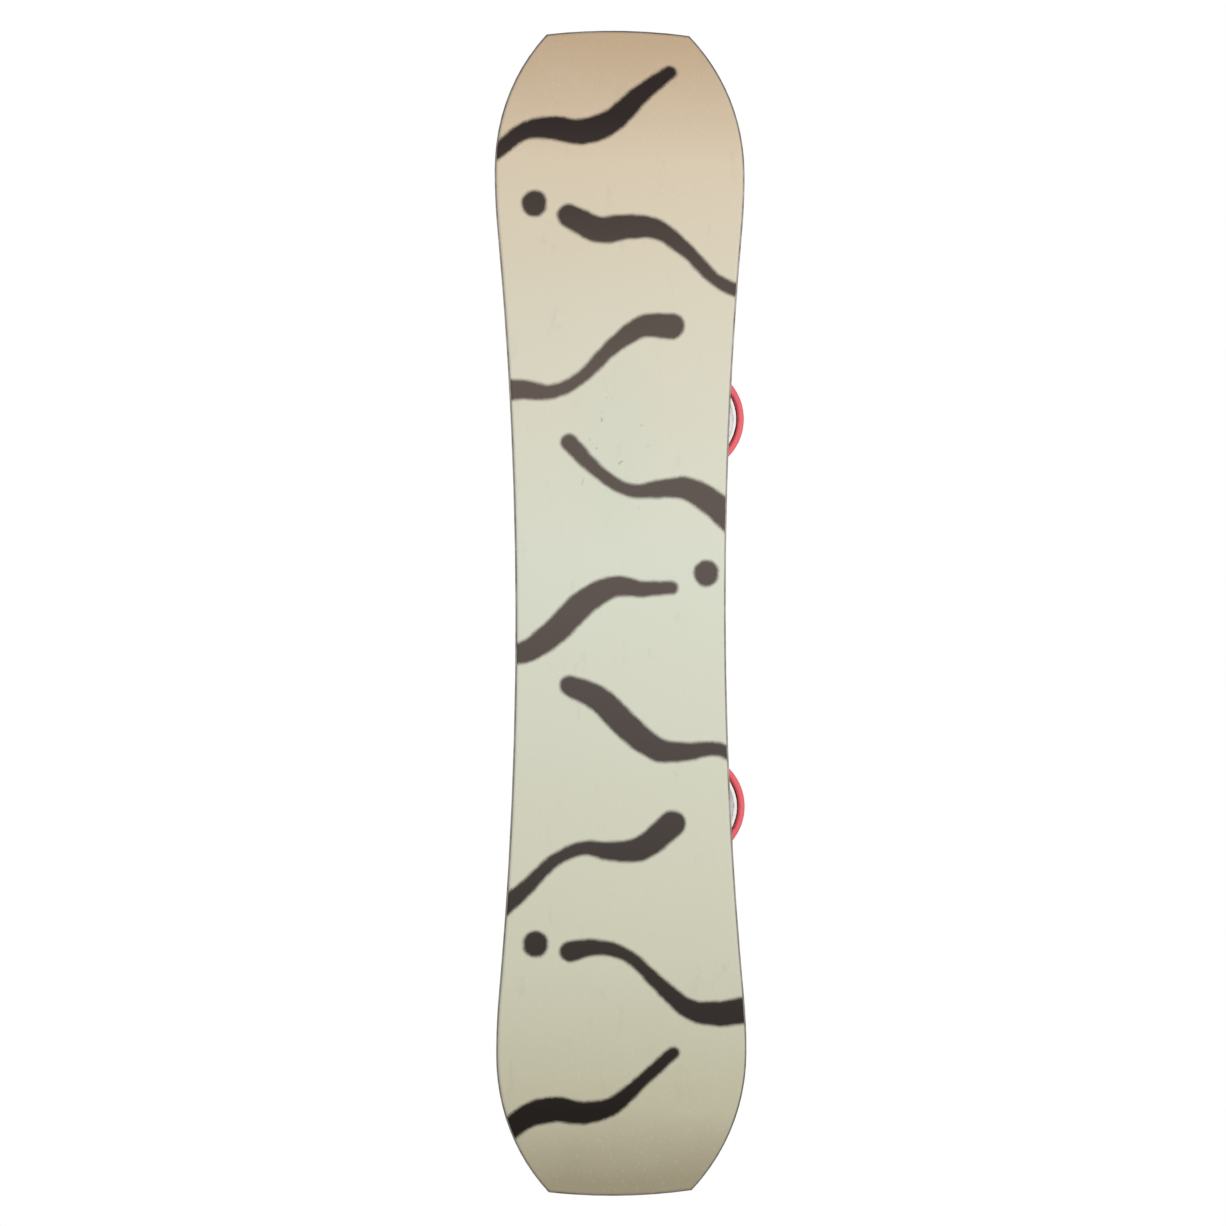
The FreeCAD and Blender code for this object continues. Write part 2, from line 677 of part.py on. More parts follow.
class Arch:
    """Expressions of one arch: half width, leg, height and corner radius at its centre line."""

    def __init__(self, half_width, leg, height, corner_radius):
        self.half_width = half_width
        self.leg = leg
        self.corner = corner_radius
        self.shoulder = f"({half_width} - {corner_radius})"
        spare = f"({height} - {corner_radius})"
        self.crown = f"(({spare} ^ 2 - ({leg}) ^ 2 - {self.shoulder} ^ 2) / (2 * ({spare} - ({leg}))))"
        self.crown_radius = f"({height} - {self.crown})"

    def foot(self, offset, end):
        """Point on the leg's side at height end."""
        return (f"({self.half_width} + ({offset}))", end)

    def polar(self, angle, offset):
        """Point on the corner arc at an angle above the level."""
        reach = f"({self.corner} + ({offset}))"
        return (f"({self.shoulder} + {reach} * cos({angle}))", f"({self.leg} + {reach} * sin({angle}))")

    def touch(self, offset):
        """Point where the corner arc meets the crown arc."""
        share = f"(({self.crown_radius} + ({offset})) / ({self.crown_radius} - {self.corner}))"
        return (f"({self.shoulder} * {share})", f"({self.crown} + ({self.leg} - {self.crown}) * {share})")

    def corner_radius(self, offset):
        return f"({self.corner} + ({offset}))"

    def crown_arc(self, offset):
        return f"({self.crown_radius} + ({offset}))"


def draw_arch_band(sketch, arch, inner, outer, end):
    """Whole arch between two offsets, from leg end to leg end."""
    outside = [arch.foot(outer, end), (arch.foot(outer, end)[0], arch.leg), arch.touch(outer)]
    inside = [arch.foot(inner, end), (arch.foot(inner, end)[0], arch.leg), arch.touch(inner)]
    corners = outside + mirrored(outside)
    corners += [(f"-({x})", y) for x, y in inside] + list(reversed(inside))
    corner_out, crown_out = arch.corner_radius(outer), arch.crown_arc(outer)
    corner_in, crown_in = arch.corner_radius(inner), arch.crown_arc(inner)
    arcs = {1: (corner_out, 1), 2: (crown_out, 1), 3: (corner_out, 1),
            7: (corner_in, -1), 8: (crown_in, -1), 9: (corner_in, -1)}
    draw_outline(sketch, corners, arcs)


def draw_corner_band(sketch, arch, inner, outer, low, high):
    """Piece of the right-hand corner arc between two offsets and two angles."""
    corners = [arch.polar(low, outer), arch.polar(high, outer)]
    corners += [arch.polar(high, inner), arch.polar(low, inner)]
    arcs = {0: (arch.corner_radius(outer), 1), 2: (arch.corner_radius(inner), -1)}
    draw_outline(sketch, corners, arcs)


# ---------------------------------------------------------------- heel hoop


def build_hoop():
    """U-shaped heel loop, its arms sloping down to the baseplate's rails."""
    body = new_body("front_heel_hoop")
    plan = sketch_on(body, PLANE_XY)
    half_wall = "(sizes.hoop_wall / 2)"
    height = f"(sizes.hoop_centre + sizes.hoop_reach - {half_wall})"
    corner = f"(sizes.hoop_corner_radius - {half_wall})"
    arch = Arch(f"(sizes.hoop_half_width - {half_wall})", "sizes.hoop_centre", height, corner)
    draw_arch_band(plan, arch, f"-{half_wall}", half_wall, "sizes.hoop_arm_end")
    pad(body, plan, "sizes.hoop_top")

    # side view: keep the band that rises from the arm ends to the rear
    far = "(sizes.hoop_centre + sizes.hoop_reach + 10)"
    arm = "(sizes.hoop_arm_end - 5)"
    arm_low = "(sizes.rail_height - 10)"
    arm_high = "(sizes.rail_height + 13)"
    under = [(arm, "-5"), (far, "-5"), (far, "sizes.hoop_bottom")]
    under += [("(sizes.hoop_centre + 4)", "(sizes.hoop_bottom - 2)")]
    under += [("(sizes.hoop_centre - 12)", arm_low), (arm, arm_low)]
    below = sketch_on(body, PLANE_YZ)
    draw_outline(below, under)
    cut(body, below)
    high = "(sizes.hoop_top + 5)"
    over = [(arm, arm_high), ("(sizes.hoop_arm_end + 6)", arm_high)]
    over += [("(sizes.hoop_centre + 6)", "(sizes.hoop_top - 2)")]
    over += [("(sizes.hoop_centre + 30)", "sizes.hoop_top"), (far, "sizes.hoop_top"), (far, high), (arm, high)]
    above = sketch_on(body, PLANE_YZ)
    draw_outline(above, over)
    cut(body, above)

    holes = sketch_on(body, PLANE_YZ)
    draw_circles(holes, hoop_screw_centres(), "(sizes.strap_bolt_radius + 0.1)")
    draw_circles(holes, [("sizes.pivot_back", "sizes.pivot_up")], "(sizes.pivot_radius + 0.1)")
    cut(body, holes)


# Bolts come in left and right pairs: a shank across the joint, a head outside and a nut inside.


def build_bolts(label, centres, shank_radius, head_radius, nut_from, nut_to, head_from, head_to):
    """Bolts along x at the given side-view centres, the same on both sides."""
    body = new_body(label)
    shank = sketch_on(body, PLANE_YZ, nut_from)
    draw_circles(shank, centres, shank_radius)
    shank_pad = pad(body, shank, f"({head_from} - {nut_from})")
    nut = sketch_on(body, PLANE_YZ, nut_from)
    draw_circles(nut, centres, head_radius)
    nut_pad = pad(body, nut, f"({nut_to} - {nut_from})")
    head = sketch_on(body, PLANE_YZ, head_from)
    draw_circles(head, centres, head_radius)
    head_pad = pad(body, head, f"({head_to} - {head_from})")
    mirror_across(body, [shank_pad, nut_pad, head_pad])


def build_all_bolts():
    """Hoop screws, strap bolts and highback pivots."""
    build_bolts("front_hoop_screws", hoop_screw_centres(), "sizes.strap_bolt_radius", "5",
                f"({RAIL_INNER} - 1.8)", RAIL_INNER, "sizes.hoop_half_width", "(sizes.hoop_half_width + 2)")
    strap_outer = f"({STRAP_HALF} + sizes.ladder_thickness / 2 + sizes.fit_gap)"
    mounts = [("sizes.ankle_back", "sizes.ankle_up"), ("sizes.toe_back", "sizes.toe_up")]
    build_bolts("front_strap_bolts", mounts, "sizes.strap_bolt_radius", "6",
                f"({RAIL_INNER} - 2)", RAIL_INNER, strap_outer, f"({strap_outer} + 2.5)")
    pivot = [("sizes.pivot_back", "sizes.pivot_up")]
    build_bolts("front_highback_pivots", pivot, "sizes.pivot_radius", "7",
                f"({EAR_INNER} - sizes.fit_gap - 2.5)", f"({EAR_INNER} - sizes.fit_gap)",
                "sizes.hoop_half_width", "(sizes.hoop_half_width + 2.5)")


# ---------------------------------------------------------------- highback


def shell_wire(height, inset, wall, front):
    """Horizontal section of the highback's shell: two arches, one wall apart, closed at the front."""
    hoop_top = value("sizes.hoop_top")
    rise = max(height - hoop_top, 0) / (value("sizes.highback_top") - hoop_top)
    centre = value("sizes.hoop_centre") + value("sizes.highback_set_back") * rise ** 1.5
    half = value(EAR_OUTER) - inset - value("sizes.highback_taper") * rise ** 1.5
    reach = value("sizes.hoop_reach - sizes.hoop_wall - sizes.highback_gap") - inset - 3 * rise
    corner = value("sizes.highback_corner_radius") - inset - 6 * rise

    def arch_points(offset):
        width = half - offset
        depth = reach - offset
        radius = corner - offset
        shoulder = width - radius
        crown = ((depth - radius) ** 2 - shoulder ** 2) / (2 * (depth - radius))
        crown_radius = depth - crown
        touch = V(shoulder, -crown, 0) * (crown_radius / (crown_radius - radius)) + V(0, crown, 0)
        bend = V(shoulder, 0, 0) + (touch - V(shoulder, 0, 0)).normalize() * radius
        middle = (V(width, 0, 0) + bend) * 0.5 - V(shoulder, 0, 0)
        middle = V(shoulder, 0, 0) + middle.normalize() * radius
        points = (V(width, 0, 0), middle, bend, V(0, depth, 0))
        return [V(point.x, point.y + centre, height) for point in points]

    def flip(point):
        return V(-point.x, point.y, point.z)

    def run(points, start_y):
        start, middle, bend, crown = points
        foot = V(start.x, start_y, height)
        half = [Part.LineSegment(foot, start), Part.Arc(start, middle, bend)]
        other = [Part.Arc(flip(bend), flip(middle), flip(start)), Part.LineSegment(flip(start), flip(foot))]
        return half + [Part.Arc(bend, crown, flip(bend))] + other

    outer = run(arch_points(0), front)
    inner = run(arch_points(wall), front)
    ends = [Part.LineSegment(outer[-1].EndPoint, inner[-1].EndPoint),
            Part.LineSegment(inner[0].StartPoint, outer[0].StartPoint)]
    pieces = outer + [ends[0]] + inner + [ends[1]]
    return Part.Wire(Part.__sortEdges__([piece.toShape() for piece in pieces]))


def shell_loft(inset, wall, front, low, high):
    """Shell through sections at several heights."""
    share = (0.0, 0.3, 0.6, 1.0)
    heights = [low + (high - low) * part for part in share]
    return Part.makeLoft([shell_wire(height, inset, wall, front) for height in heights], True, False)


def side_prism(points, half_width):
    """Solid across the binding from corners in the side view, each (y, z)."""
    corners = [V(-half_width, y, z) for y, z in points]
    return Part.Face(Part.makePolygon(corners + corners[:1])).extrude(V(2 * half_width, 0, 0))


def slot_prism(half_length, radius, height):
    """Level slot with round ends, cut through from front to back."""
    box = Part.makeBox(2 * half_length, 300, 2 * radius, V(-half_length, 0, height - radius))
    starts = [V(side * half_length, 0, height) for side in (-1, 1)]
    return box.fuse([Part.makeCylinder(radius, 300, start, V(0, 1, 0)) for start in starts])


def build_highback():
    """Curved back shell with ears at its pivots, vents and the track for the lean adjuster."""
    top = value("sizes.highback_top")
    bottom = value("sizes.highback_bottom")
    pivot_y = value("sizes.pivot_back")
    pivot_z = value("sizes.pivot_up")
    ear = value("sizes.ear_radius")
    centre = value("sizes.hoop_centre")
    wide = value("sizes.hoop_half_width")
    wall = value("sizes.highback_wall")
    shell = shell_loft(0, wall, pivot_y - ear, pivot_z - ear - 1, top)
    front_line = [(pivot_y, pivot_z - ear), (centre, bottom), (centre + 90, bottom), (centre + 90, top)]
    front_line += [(centre + 20, top), (centre + 8, top * 0.8), (centre - 2, top * 0.5)]
    front_line += [(pivot_y + ear, pivot_z + ear * 2), (pivot_y, pivot_z + ear)]
    keep_region = side_prism(front_line, wide)
    keep_region = keep_region.fuse(Part.makeCylinder(ear, 2 * wide, V(-wide, pivot_y, pivot_z), V(1, 0, 0)))
    shell = shell.common(keep_region)
    # rounded top, seen from behind
    crown_radius = value(EAR_OUTER)
    dome = Part.makeCylinder(crown_radius, 300, V(0, 0, top - crown_radius), V(0, 1, 0))
    lower = Part.makeBox(2 * wide, 300, top - crown_radius, V(-wide, 0, 0))
    shell = shell.common(dome.fuse(lower))
    hole = value("sizes.pivot_radius + sizes.fit_gap")
    shell = shell.cut(Part.makeCylinder(hole, 2 * wide, V(-wide, pivot_y, pivot_z), V(1, 0, 0)))
    for height, half_length in ((0.60, 24), (0.70, 22), (0.80, 17)):
        shell = shell.cut(slot_prism(half_length, 5.5, top * height))
    rear = value(BEHIND_HIGHBACK)
    low = value("sizes.hoop_top") + 3
    half_track = value("sizes.track_half_width")
    rooted = value("sizes.highback_wall") * 0.3
    depth = value("sizes.track_height") + rooted
    length = value("sizes.adjuster_height") * 2
    track = Part.makeBox(2 * half_track, depth, length, V(-half_track, rear - rooted, low))
    shell = shell.fuse(track).removeSplitter()
    piece = keep(doc.addObject("Part::Feature", "front_highback"), "front_highback")
    piece.Shape = shell.Solids[0] if len(shell.Solids) == 1 else shell


def build_highback_pad():
    """Cushion on the inner face of the highback."""
    top = value("sizes.highback_top")
    inset = value("sizes.highback_wall + sizes.fit_gap")
    centre = value("sizes.hoop_centre")
    low = top * 0.46
    high = top * 0.93
    thickness = value("sizes.highback_pad_thickness")
    front = centre + 12
    shell = shell_loft(inset, thickness, value("sizes.pivot_back"), low, high)
    round_radius = value("sizes.highback_corner_radius")
    half = value(EAR_OUTER) * 0.65
    region = Part.makeBox(2 * half, 100, high - low, V(-half, front, low))
    round_top = Part.makeCylinder(round_radius, 200, V(0, 0, high - round_radius), V(0, 1, 0))
    round_low = Part.makeCylinder(round_radius, 200, V(0, 0, low + round_radius), V(0, 1, 0))
    middle = Part.makeBox(2 * round_radius, 200, high - low - 2 * round_radius,
                          V(-round_radius, 0, low + round_radius))
    piece = keep(doc.addObject("Part::Feature", "front_highback_pad"), "front_highback_pad")
    piece.Shape = shell.common(region).common(middle.fuse([round_top, round_low]))


def build_lean_adjuster():
    """Block on the back of the highback that stops against the hoop's upper rim."""
    body = new_body("front_lean_adjuster")
    side = sketch_on(body, PLANE_YZ)
    inner = f"({BEHIND_HIGHBACK} + sizes.track_height + sizes.fit_gap)"
    outer = f"({inner} + sizes.adjuster_depth)"
    low = "(sizes.hoop_top + sizes.adjuster_gap)"
    high = f"({low} + sizes.adjuster_height)"
    slope_start = f"({low} + sizes.adjuster_height * 0.35)"
    corners = [(inner, low), (outer, low), (outer, slope_start), (f"({outer} - 4)", high), (inner, high)]
    draw_outline(side, corners)
    pad(body, side, "sizes.adjuster_half_width * 2", midplane=True)
    upright = V(0, 0, 1)
    round_edges(body, "3", lambda edge: along(edge, upright) and edge.CenterOfMass.y > value(outer) - 0.1)


# ---------------------------------------------------------------- straps

# A strap is one arch in its own frame: x across the boot, z up the strap from its bolts, y over its width.
# Offsets are measured outward from the arch's centre line, which is the ladder's middle.


class Strap:
    """Sizes of one strap, as expressions, and the arch that its pieces follow."""

    def __init__(self, name):
        self.name = name
        self.arch = Arch(STRAP_HALF, f"sizes.{name}_straight", f"sizes.{name}_height",
                         f"sizes.{name}_corner_radius")
        self.pad_outer = "-(sizes.ladder_thickness / 2 + sizes.connector_thickness - 0.25)"
        self.plate_outer = "-(sizes.ladder_thickness / 2 + 0.45)"
        self.foot_end = "-sizes.mount_end_radius"
        self.connector_end = "46deg"
        self.cheek_high = "38deg"
        self.lever_angle = "25deg"
        self.lever_offset = "8.5"
        self.release_angle = "7deg"
        self.release_offset = "6.5"
        self.lever_tip = "66deg" if name == "ankle" else "74deg"


def round_foot(body):
    """Round the strap's end about its bolt."""
    across = V(1, 0, 0)
    low = min(vertex.Point.z for vertex in body.Shape.Vertexes)
    limit = "sizes.mount_end_radius * 0.75"
    round_edges(body, limit, lambda edge: along(edge, across) and edge.CenterOfMass.z < low + 0.01)


def bolt_hole(body):
    """Hole for the strap's bolt."""
    hole = sketch_on(body, PLANE_YZ)
    draw_circles(hole, [("0", "0")], "(sizes.strap_bolt_radius + sizes.fit_gap)")
    cut(body, hole)


def build_connector(strap):
    """Plain strap from the inner side's bolt to the cushion."""
    body = new_body(f"front_{strap.name}_connector")
    arch = strap.arch
    sketch = sketch_on(body, PLANE_XZ)
    inner = f"({strap.pad_outer} + 0.05)"
    outer = f"({inner} + sizes.connector_thickness)"
    end = strap.connector_end
    right = [arch.foot(outer, strap.foot_end), arch.foot(outer, arch.leg), arch.polar(end, outer)]
    right += [arch.polar(end, inner), arch.foot(inner, arch.leg), arch.foot(inner, strap.foot_end)]
    arcs = {3: (arch.corner_radius(outer), 1), 1: (arch.corner_radius(inner), -1)}
    draw_outline(sketch, mirrored(right), arcs)
    pad(body, sketch, "sizes.mount_end_radius * 2", midplane=True)
    round_foot(body)
    bolt_hole(body)
    return body


def build_strap_pad(strap):
    """Cushion over the boot."""
    body = new_body(f"front_{strap.name}_strap")
    arch = strap.arch
    sketch = sketch_on(body, PLANE_XZ)
    outer = strap.pad_outer
    inner = f"({outer} - sizes.strap_pad_thickness)"
    low = "12deg"
    outside = [arch.polar(low, outer), arch.touch(outer)]
    inside = [arch.polar(low, inner), arch.touch(inner)]
    corners = outside + mirrored(outside) + [(f"-({x})", y) for x, y in inside] + list(reversed(inside))
    corner_out, crown_out = arch.corner_radius(outer), arch.crown_arc(outer)
    corner_in, crown_in = arch.corner_radius(inner), arch.crown_arc(inner)
    arcs = {0: (corner_out, 1), 1: (crown_out, 1), 2: (corner_out, 1),
            4: (corner_in, -1), 5: (crown_in, -1), 6: (corner_in, -1)}
    draw_outline(sketch, corners, arcs)
    pad(body, sketch, f"sizes.{strap.name}_pad_width", midplane=True)
    return body


def build_ladder(strap):
    """Toothed strap from the outer side's bolt through the ratchet."""
    body = new_body(f"front_{strap.name}_ladder")
    arch = strap.arch
    half = "(sizes.ladder_thickness / 2)"
    crest = f"({half} + sizes.tooth_height)"
    teeth = 16
    last = 60
    corners = [arch.foot(f"-{half}", strap.foot_end), arch.foot(half, strap.foot_end)]
    for tooth in range(teeth):
        angle = f"{last * tooth / teeth + 1}deg"
        corners += [arch.polar(angle, half), arch.polar(angle, crest)]
    end = f"{last + 1}deg"
    corners += [arch.polar(end, half), arch.polar(end, f"-{half}"), arch.foot(f"-{half}", arch.leg)]
    sketch = sketch_on(body, PLANE_XZ)
    draw_outline(sketch, corners, {len(corners) - 2: (arch.corner_radius(f"-{half}"), -1)})
    pad(body, sketch, "sizes.ladder_width", midplane=True)
    round_foot(body)
    bolt_hole(body)
    return body


def build_ratchet(strap):
    """Buckle body: a plate under the ladder and a cheek on each side of it."""
    body = new_body(f"front_{strap.name}_ratchet")
    arch = strap.arch
    block = sketch_on(body, PLANE_XZ)
    plate_low = f"({strap.pad_outer} + 0.05)"
    draw_corner_band(block, arch, plate_low, "11.5", "0.5deg", strap.cheek_high)
    pad(body, block, "sizes.ratchet_width", midplane=True)
    channel = sketch_on(body, PLANE_XZ)
    draw_corner_band(channel, arch, strap.plate_outer, "14", "-6deg", "50deg")
    cut(body, channel, "sizes.ratchet_width - 2 * sizes.cheek_thickness")
    pins = sketch_on(body, PLANE_XZ)
    centres = [arch.polar(strap.lever_angle, strap.lever_offset)]
    centres += [arch.polar(strap.release_angle, strap.release_offset)]
    draw_circles(pins, centres, "(2 + sizes.fit_gap)")
    cut(body, pins)
    return body


def lever_width():
    """Room between the ratchet's cheeks."""
    return "(sizes.ratchet_width - 2 * sizes.cheek_thickness - 0.8)"


def build_lever(strap):
    """Ratchet lever: toothed drum, curved handle and its pin."""
    body = new_body(f"front_{strap.name}_ratchet_lever")
    arch = strap.arch
    centre = arch.polar(strap.lever_angle, strap.lever_offset)
    drum = sketch_on(body, PLANE_XZ)
    draw_circles(drum, [centre], "5.2")
    pad(body, drum, lever_width(), midplane=True)
    handle = sketch_on(body, PLANE_XZ)
    draw_corner_band(handle, arch, "8", "12", strap.lever_angle, strap.lever_tip)
    pad(body, handle, lever_width(), midplane=True)
    pin_sketch = sketch_on(body, PLANE_XZ)
    draw_circles(pin_sketch, [centre], "2")
    pad(body, pin_sketch, "sizes.ratchet_width + 1", midplane=True)
    return body


def build_release(strap):
    """Small lever below the ladder's entry that lets the ladder run back."""
    body = new_body(f"front_{strap.name}_release_lever")
    arch = strap.arch
    centre = arch.polar(strap.release_angle, strap.release_offset)
    hub = sketch_on(body, PLANE_XZ)
    draw_circles(hub, [centre], "3.2")
    pad(body, hub, lever_width(), midplane=True)
    tab = sketch_on(body, PLANE_XZ)
    x, z = centre
    corners = [(f"({x} - 1)", f"({z} - 17)"), (f"({x} + 2.6)", f"({z} - 18)")]
    corners += [(f"({x} + 3)", z), (f"({x} - 1)", z)]
    draw_outline(tab, corners)
    pad(body, tab, lever_width(), midplane=True)
    pin_sketch = sketch_on(body, PLANE_XZ)
    draw_circles(pin_sketch, [centre], "2")
    pad(body, pin_sketch, "sizes.ratchet_width + 1", midplane=True)
    return body


def build_strap(name):
    """All pieces of one strap, stood in its frame on the baseplate's bolts."""
    strap = Strap(name)
    builders = (build_connector, build_strap_pad, build_ladder, build_ratchet, build_lever, build_release)
    turn = Rotation(V(1, 0, 0), value(f"sizes.{name}_lean"))
    place = Placement(V(0, value(f"sizes.{name}_back"), value(f"sizes.{name}_up")), turn)
    return {builder(strap).Name: place for builder in builders}


def build_binding():
    """Front binding in place, and the rear one as its mirror image."""
    first = len(nodes)
    build_gasket()
    build_baseplate()
    build_disc()
    build_disc_screws()
    build_footbed()
    build_toe_ramp()
    build_hoop()
    build_all_bolts()
    build_highback()
    build_highback_pad()
    build_lean_adjuster()
    strap_places = {}
    for name in ("ankle", "toe"):
        strap_places.update(build_strap(name))
    centre = V(value("sizes.stance_width / 2"), 0, value(BOARD_TOP))
    turned = Placement(centre, Rotation(V(0, 0, 1), value("sizes.stance_angle")))
    square = Placement(centre, Rotation())
    for piece in nodes[first:]:
        if piece.Name in strap_places:
            piece.Placement = turned.multiply(strap_places[piece.Name])
        elif piece.Name in ("front_disc", "front_disc_screws"):
            piece.Placement = square
        else:
            piece.Placement = turned
    for piece in nodes[first:]:
        label = piece.Label.replace("front_", "rear_")
        copy = doc.addObject("Part::Mirroring", label)
        copy.Source = piece
        copy.Base = V(0, 0, 0)
        copy.Normal = V(1, 0, 0)
        keep(copy, label)
    doc.recompute()


def check_and_write():
    """Stop on any failed object or bad shape, then write one STEP file for each piece."""
    failed = [thing for thing in doc.Objects if "Invalid" in thing.State or "Error" in thing.State]
    if failed:
        raise RuntimeError("; ".join(f"{thing.Name}: {thing.getStatusString()}" for thing in failed))
    os.makedirs("parts", exist_ok=True)
    for piece in nodes:
        shape = piece.Shape
        if shape.isNull() or not shape.isValid() or not shape.Solids:
            raise RuntimeError(f"{piece.Label}: bad shape")
        shape.exportStep(f"parts/{piece.Label}.step")
        box = shape.BoundBox
        print(f"{piece.Label:32s} solids {len(shape.Solids):2d}  volume {shape.Volume:10.1f}  "
              f"x {box.XMin:7.1f} {box.XMax:7.1f}  y {box.YMin:7.1f} {box.YMax:7.1f}  "
              f"z {box.ZMin:6.1f} {box.ZMax:6.1f}")
    print(len(nodes), "pieces")


build_board()
build_binding()
check_and_write()
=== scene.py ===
import math

import bmesh
import bpy
import numpy as np
from mathutils import Matrix, Vector
from mathutils.bvhtree import BVHTree


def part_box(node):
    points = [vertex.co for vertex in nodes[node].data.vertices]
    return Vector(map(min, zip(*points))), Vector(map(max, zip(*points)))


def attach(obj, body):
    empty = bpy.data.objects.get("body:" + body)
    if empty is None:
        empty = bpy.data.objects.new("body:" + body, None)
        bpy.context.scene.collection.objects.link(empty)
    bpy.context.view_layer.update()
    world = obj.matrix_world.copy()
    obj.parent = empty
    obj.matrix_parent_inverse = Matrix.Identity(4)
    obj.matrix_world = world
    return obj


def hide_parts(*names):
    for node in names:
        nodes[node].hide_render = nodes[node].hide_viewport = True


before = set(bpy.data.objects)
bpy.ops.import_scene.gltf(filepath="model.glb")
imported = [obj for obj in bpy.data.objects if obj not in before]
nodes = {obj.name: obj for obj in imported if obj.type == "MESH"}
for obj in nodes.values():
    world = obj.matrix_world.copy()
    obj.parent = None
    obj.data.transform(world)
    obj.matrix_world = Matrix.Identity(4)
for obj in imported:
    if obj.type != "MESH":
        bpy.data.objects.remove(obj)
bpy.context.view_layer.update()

print("frame loaded")

mm = 0.001
sides = {"front": 1, "rear": -1}


# helpers for meshes
def link(obj):
    bpy.context.scene.collection.objects.link(obj)
    return obj


def meshPiece(name, points, faces, smooth=True):
    mesh = bpy.data.meshes.new(name)
    mesh.from_pydata(points.tolist() if hasattr(points, "tolist") else points, [],
                     faces.tolist() if hasattr(faces, "tolist") else faces)
    mesh.polygons.foreach_set("use_smooth", [smooth] * len(mesh.polygons))
    mesh.update()
    return link(bpy.data.objects.new(name, mesh))


def readPoints(mesh):
    flat = np.empty(len(mesh.vertices) * 3)
    mesh.vertices.foreach_get("co", flat)
    return flat.reshape(-1, 3)


def readNormals(mesh):
    flat = np.empty(len(mesh.vertices) * 3)
    mesh.vertices.foreach_get("normal", flat)
    return flat.reshape(-1, 3)


def writePoints(mesh, points):
    mesh.vertices.foreach_set("co", points.ravel())
    mesh.update()


def mergedCopy(node, name, straighten=0.0):
    # a copy of a CAD node with its corners joined, and flat areas made single faces if straighten > 0
    mesh = nodes[node].data.copy()
    mesh.name = name
    work = bmesh.new()
    work.from_mesh(mesh)
    bmesh.ops.remove_doubles(work, verts=work.verts, dist=0.00002)
    if straighten:
        bmesh.ops.dissolve_limit(work, angle_limit=math.radians(straighten), use_dissolve_boundaries=False,
                                 verts=work.verts, edges=work.edges)
    work.to_mesh(mesh)
    work.free()
    mesh.materials.clear()
    mesh.polygons.foreach_set("use_smooth", [True] * len(mesh.polygons))
    return link(bpy.data.objects.new(name, mesh))


def bake(obj):
    # the modifiers' result becomes the mesh
    depsgraph = bpy.context.evaluated_depsgraph_get()
    result = bpy.data.meshes.new_from_object(obj.evaluated_get(depsgraph))
    obj.modifiers.clear()
    obj.data = result


def mirroredPiece(obj, name):
    # the same mesh on the other side of x = 0, faces turned so that they still point outwards
    mesh = obj.data.copy()
    points = readPoints(mesh)
    points[:, 0] *= -1
    mesh.flip_normals()
    writePoints(mesh, points)
    return link(bpy.data.objects.new(name, mesh))


def finishPiece(obj, body, slotName, material, *replaced):
    obj.data.materials.clear()
    obj.data.materials.append(material)
    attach(obj, body)
    if replaced:
        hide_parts(*replaced)
    return obj


# helpers for materials
def tone(red, green, blue):
    # a screen colour as linear light
    def channel(c):
        c = c / 255
        return c / 12.92 if c <= 0.04045 else ((c + 0.055) / 1.055) ** 2.4
    return (channel(red), channel(green), channel(blue), 1.0)


def newMaterial(name, **sockets):
    material = bpy.data.materials.new(name)
    material.use_nodes = True
    shader = material.node_tree.nodes["Principled BSDF"]
    for socket, value in sockets.items():
        shader.inputs[socket.replace("_", " ")].default_value = value
    return material, material.node_tree, shader


def put(tree, socket, value):
    if isinstance(value, bpy.types.NodeSocket):
        tree.links.new(value, socket)
    elif value is not None:
        socket.default_value = value


def coords(tree, scale=(1, 1, 1), turn=(0, 0, 0), shift=(0, 0, 0)):
    source = tree.nodes.new("ShaderNodeTexCoord")
    mapping = tree.nodes.new("ShaderNodeMapping")
    mapping.inputs["Scale"].default_value = scale
    mapping.inputs["Rotation"].default_value = turn
    mapping.inputs["Location"].default_value = shift
    tree.links.new(source.outputs["Object"], mapping.inputs["Vector"])
    return mapping.outputs["Vector"]


def noise(tree, vector, scale, detail=2.0, roughness=0.5, distortion=0.0):
    node = tree.nodes.new("ShaderNodeTexNoise")
    put(tree, node.inputs["Vector"], vector)
    node.inputs["Scale"].default_value = scale
    node.inputs["Detail"].default_value = detail
    node.inputs["Roughness"].default_value = roughness
    node.inputs["Distortion"].default_value = distortion
    return node.outputs["Fac"]


def cells(tree, vector, scale, feature="F1", randomness=1.0):
    node = tree.nodes.new("ShaderNodeTexVoronoi")
    node.feature = feature
    put(tree, node.inputs["Vector"], vector)
    node.inputs["Scale"].default_value = scale
    node.inputs["Randomness"].default_value = randomness
    return node.outputs["Distance"]


def waves(tree, vector, scale, direction="X", distortion=0.0, detail=0.0, profile="SIN"):
    node = tree.nodes.new("ShaderNodeTexWave")
    node.wave_type = "BANDS"
    node.bands_direction = direction
    node.wave_profile = profile
    put(tree, node.inputs["Vector"], vector)
    node.inputs["Scale"].default_value = scale
    node.inputs["Distortion"].default_value = distortion
    node.inputs["Detail"].default_value = detail
    return node.outputs["Fac"]


def ramp(tree, factor, stops, interpolation="LINEAR"):
    node = tree.nodes.new("ShaderNodeValToRGB")
    band = node.color_ramp
    band.interpolation = interpolation
    while len(band.elements) > 1:
        band.elements.remove(band.elements[-1])
    for number, (place, colour) in enumerate(sorted(stops, key=lambda stop: stop[0])):
        element = band.elements[0] if number == 0 else band.elements.new(place)
        element.position = place
        element.color = colour if len(colour) == 4 else (*colour, 1.0)
    put(tree, node.inputs["Fac"], factor)
    return node.outputs["Color"]


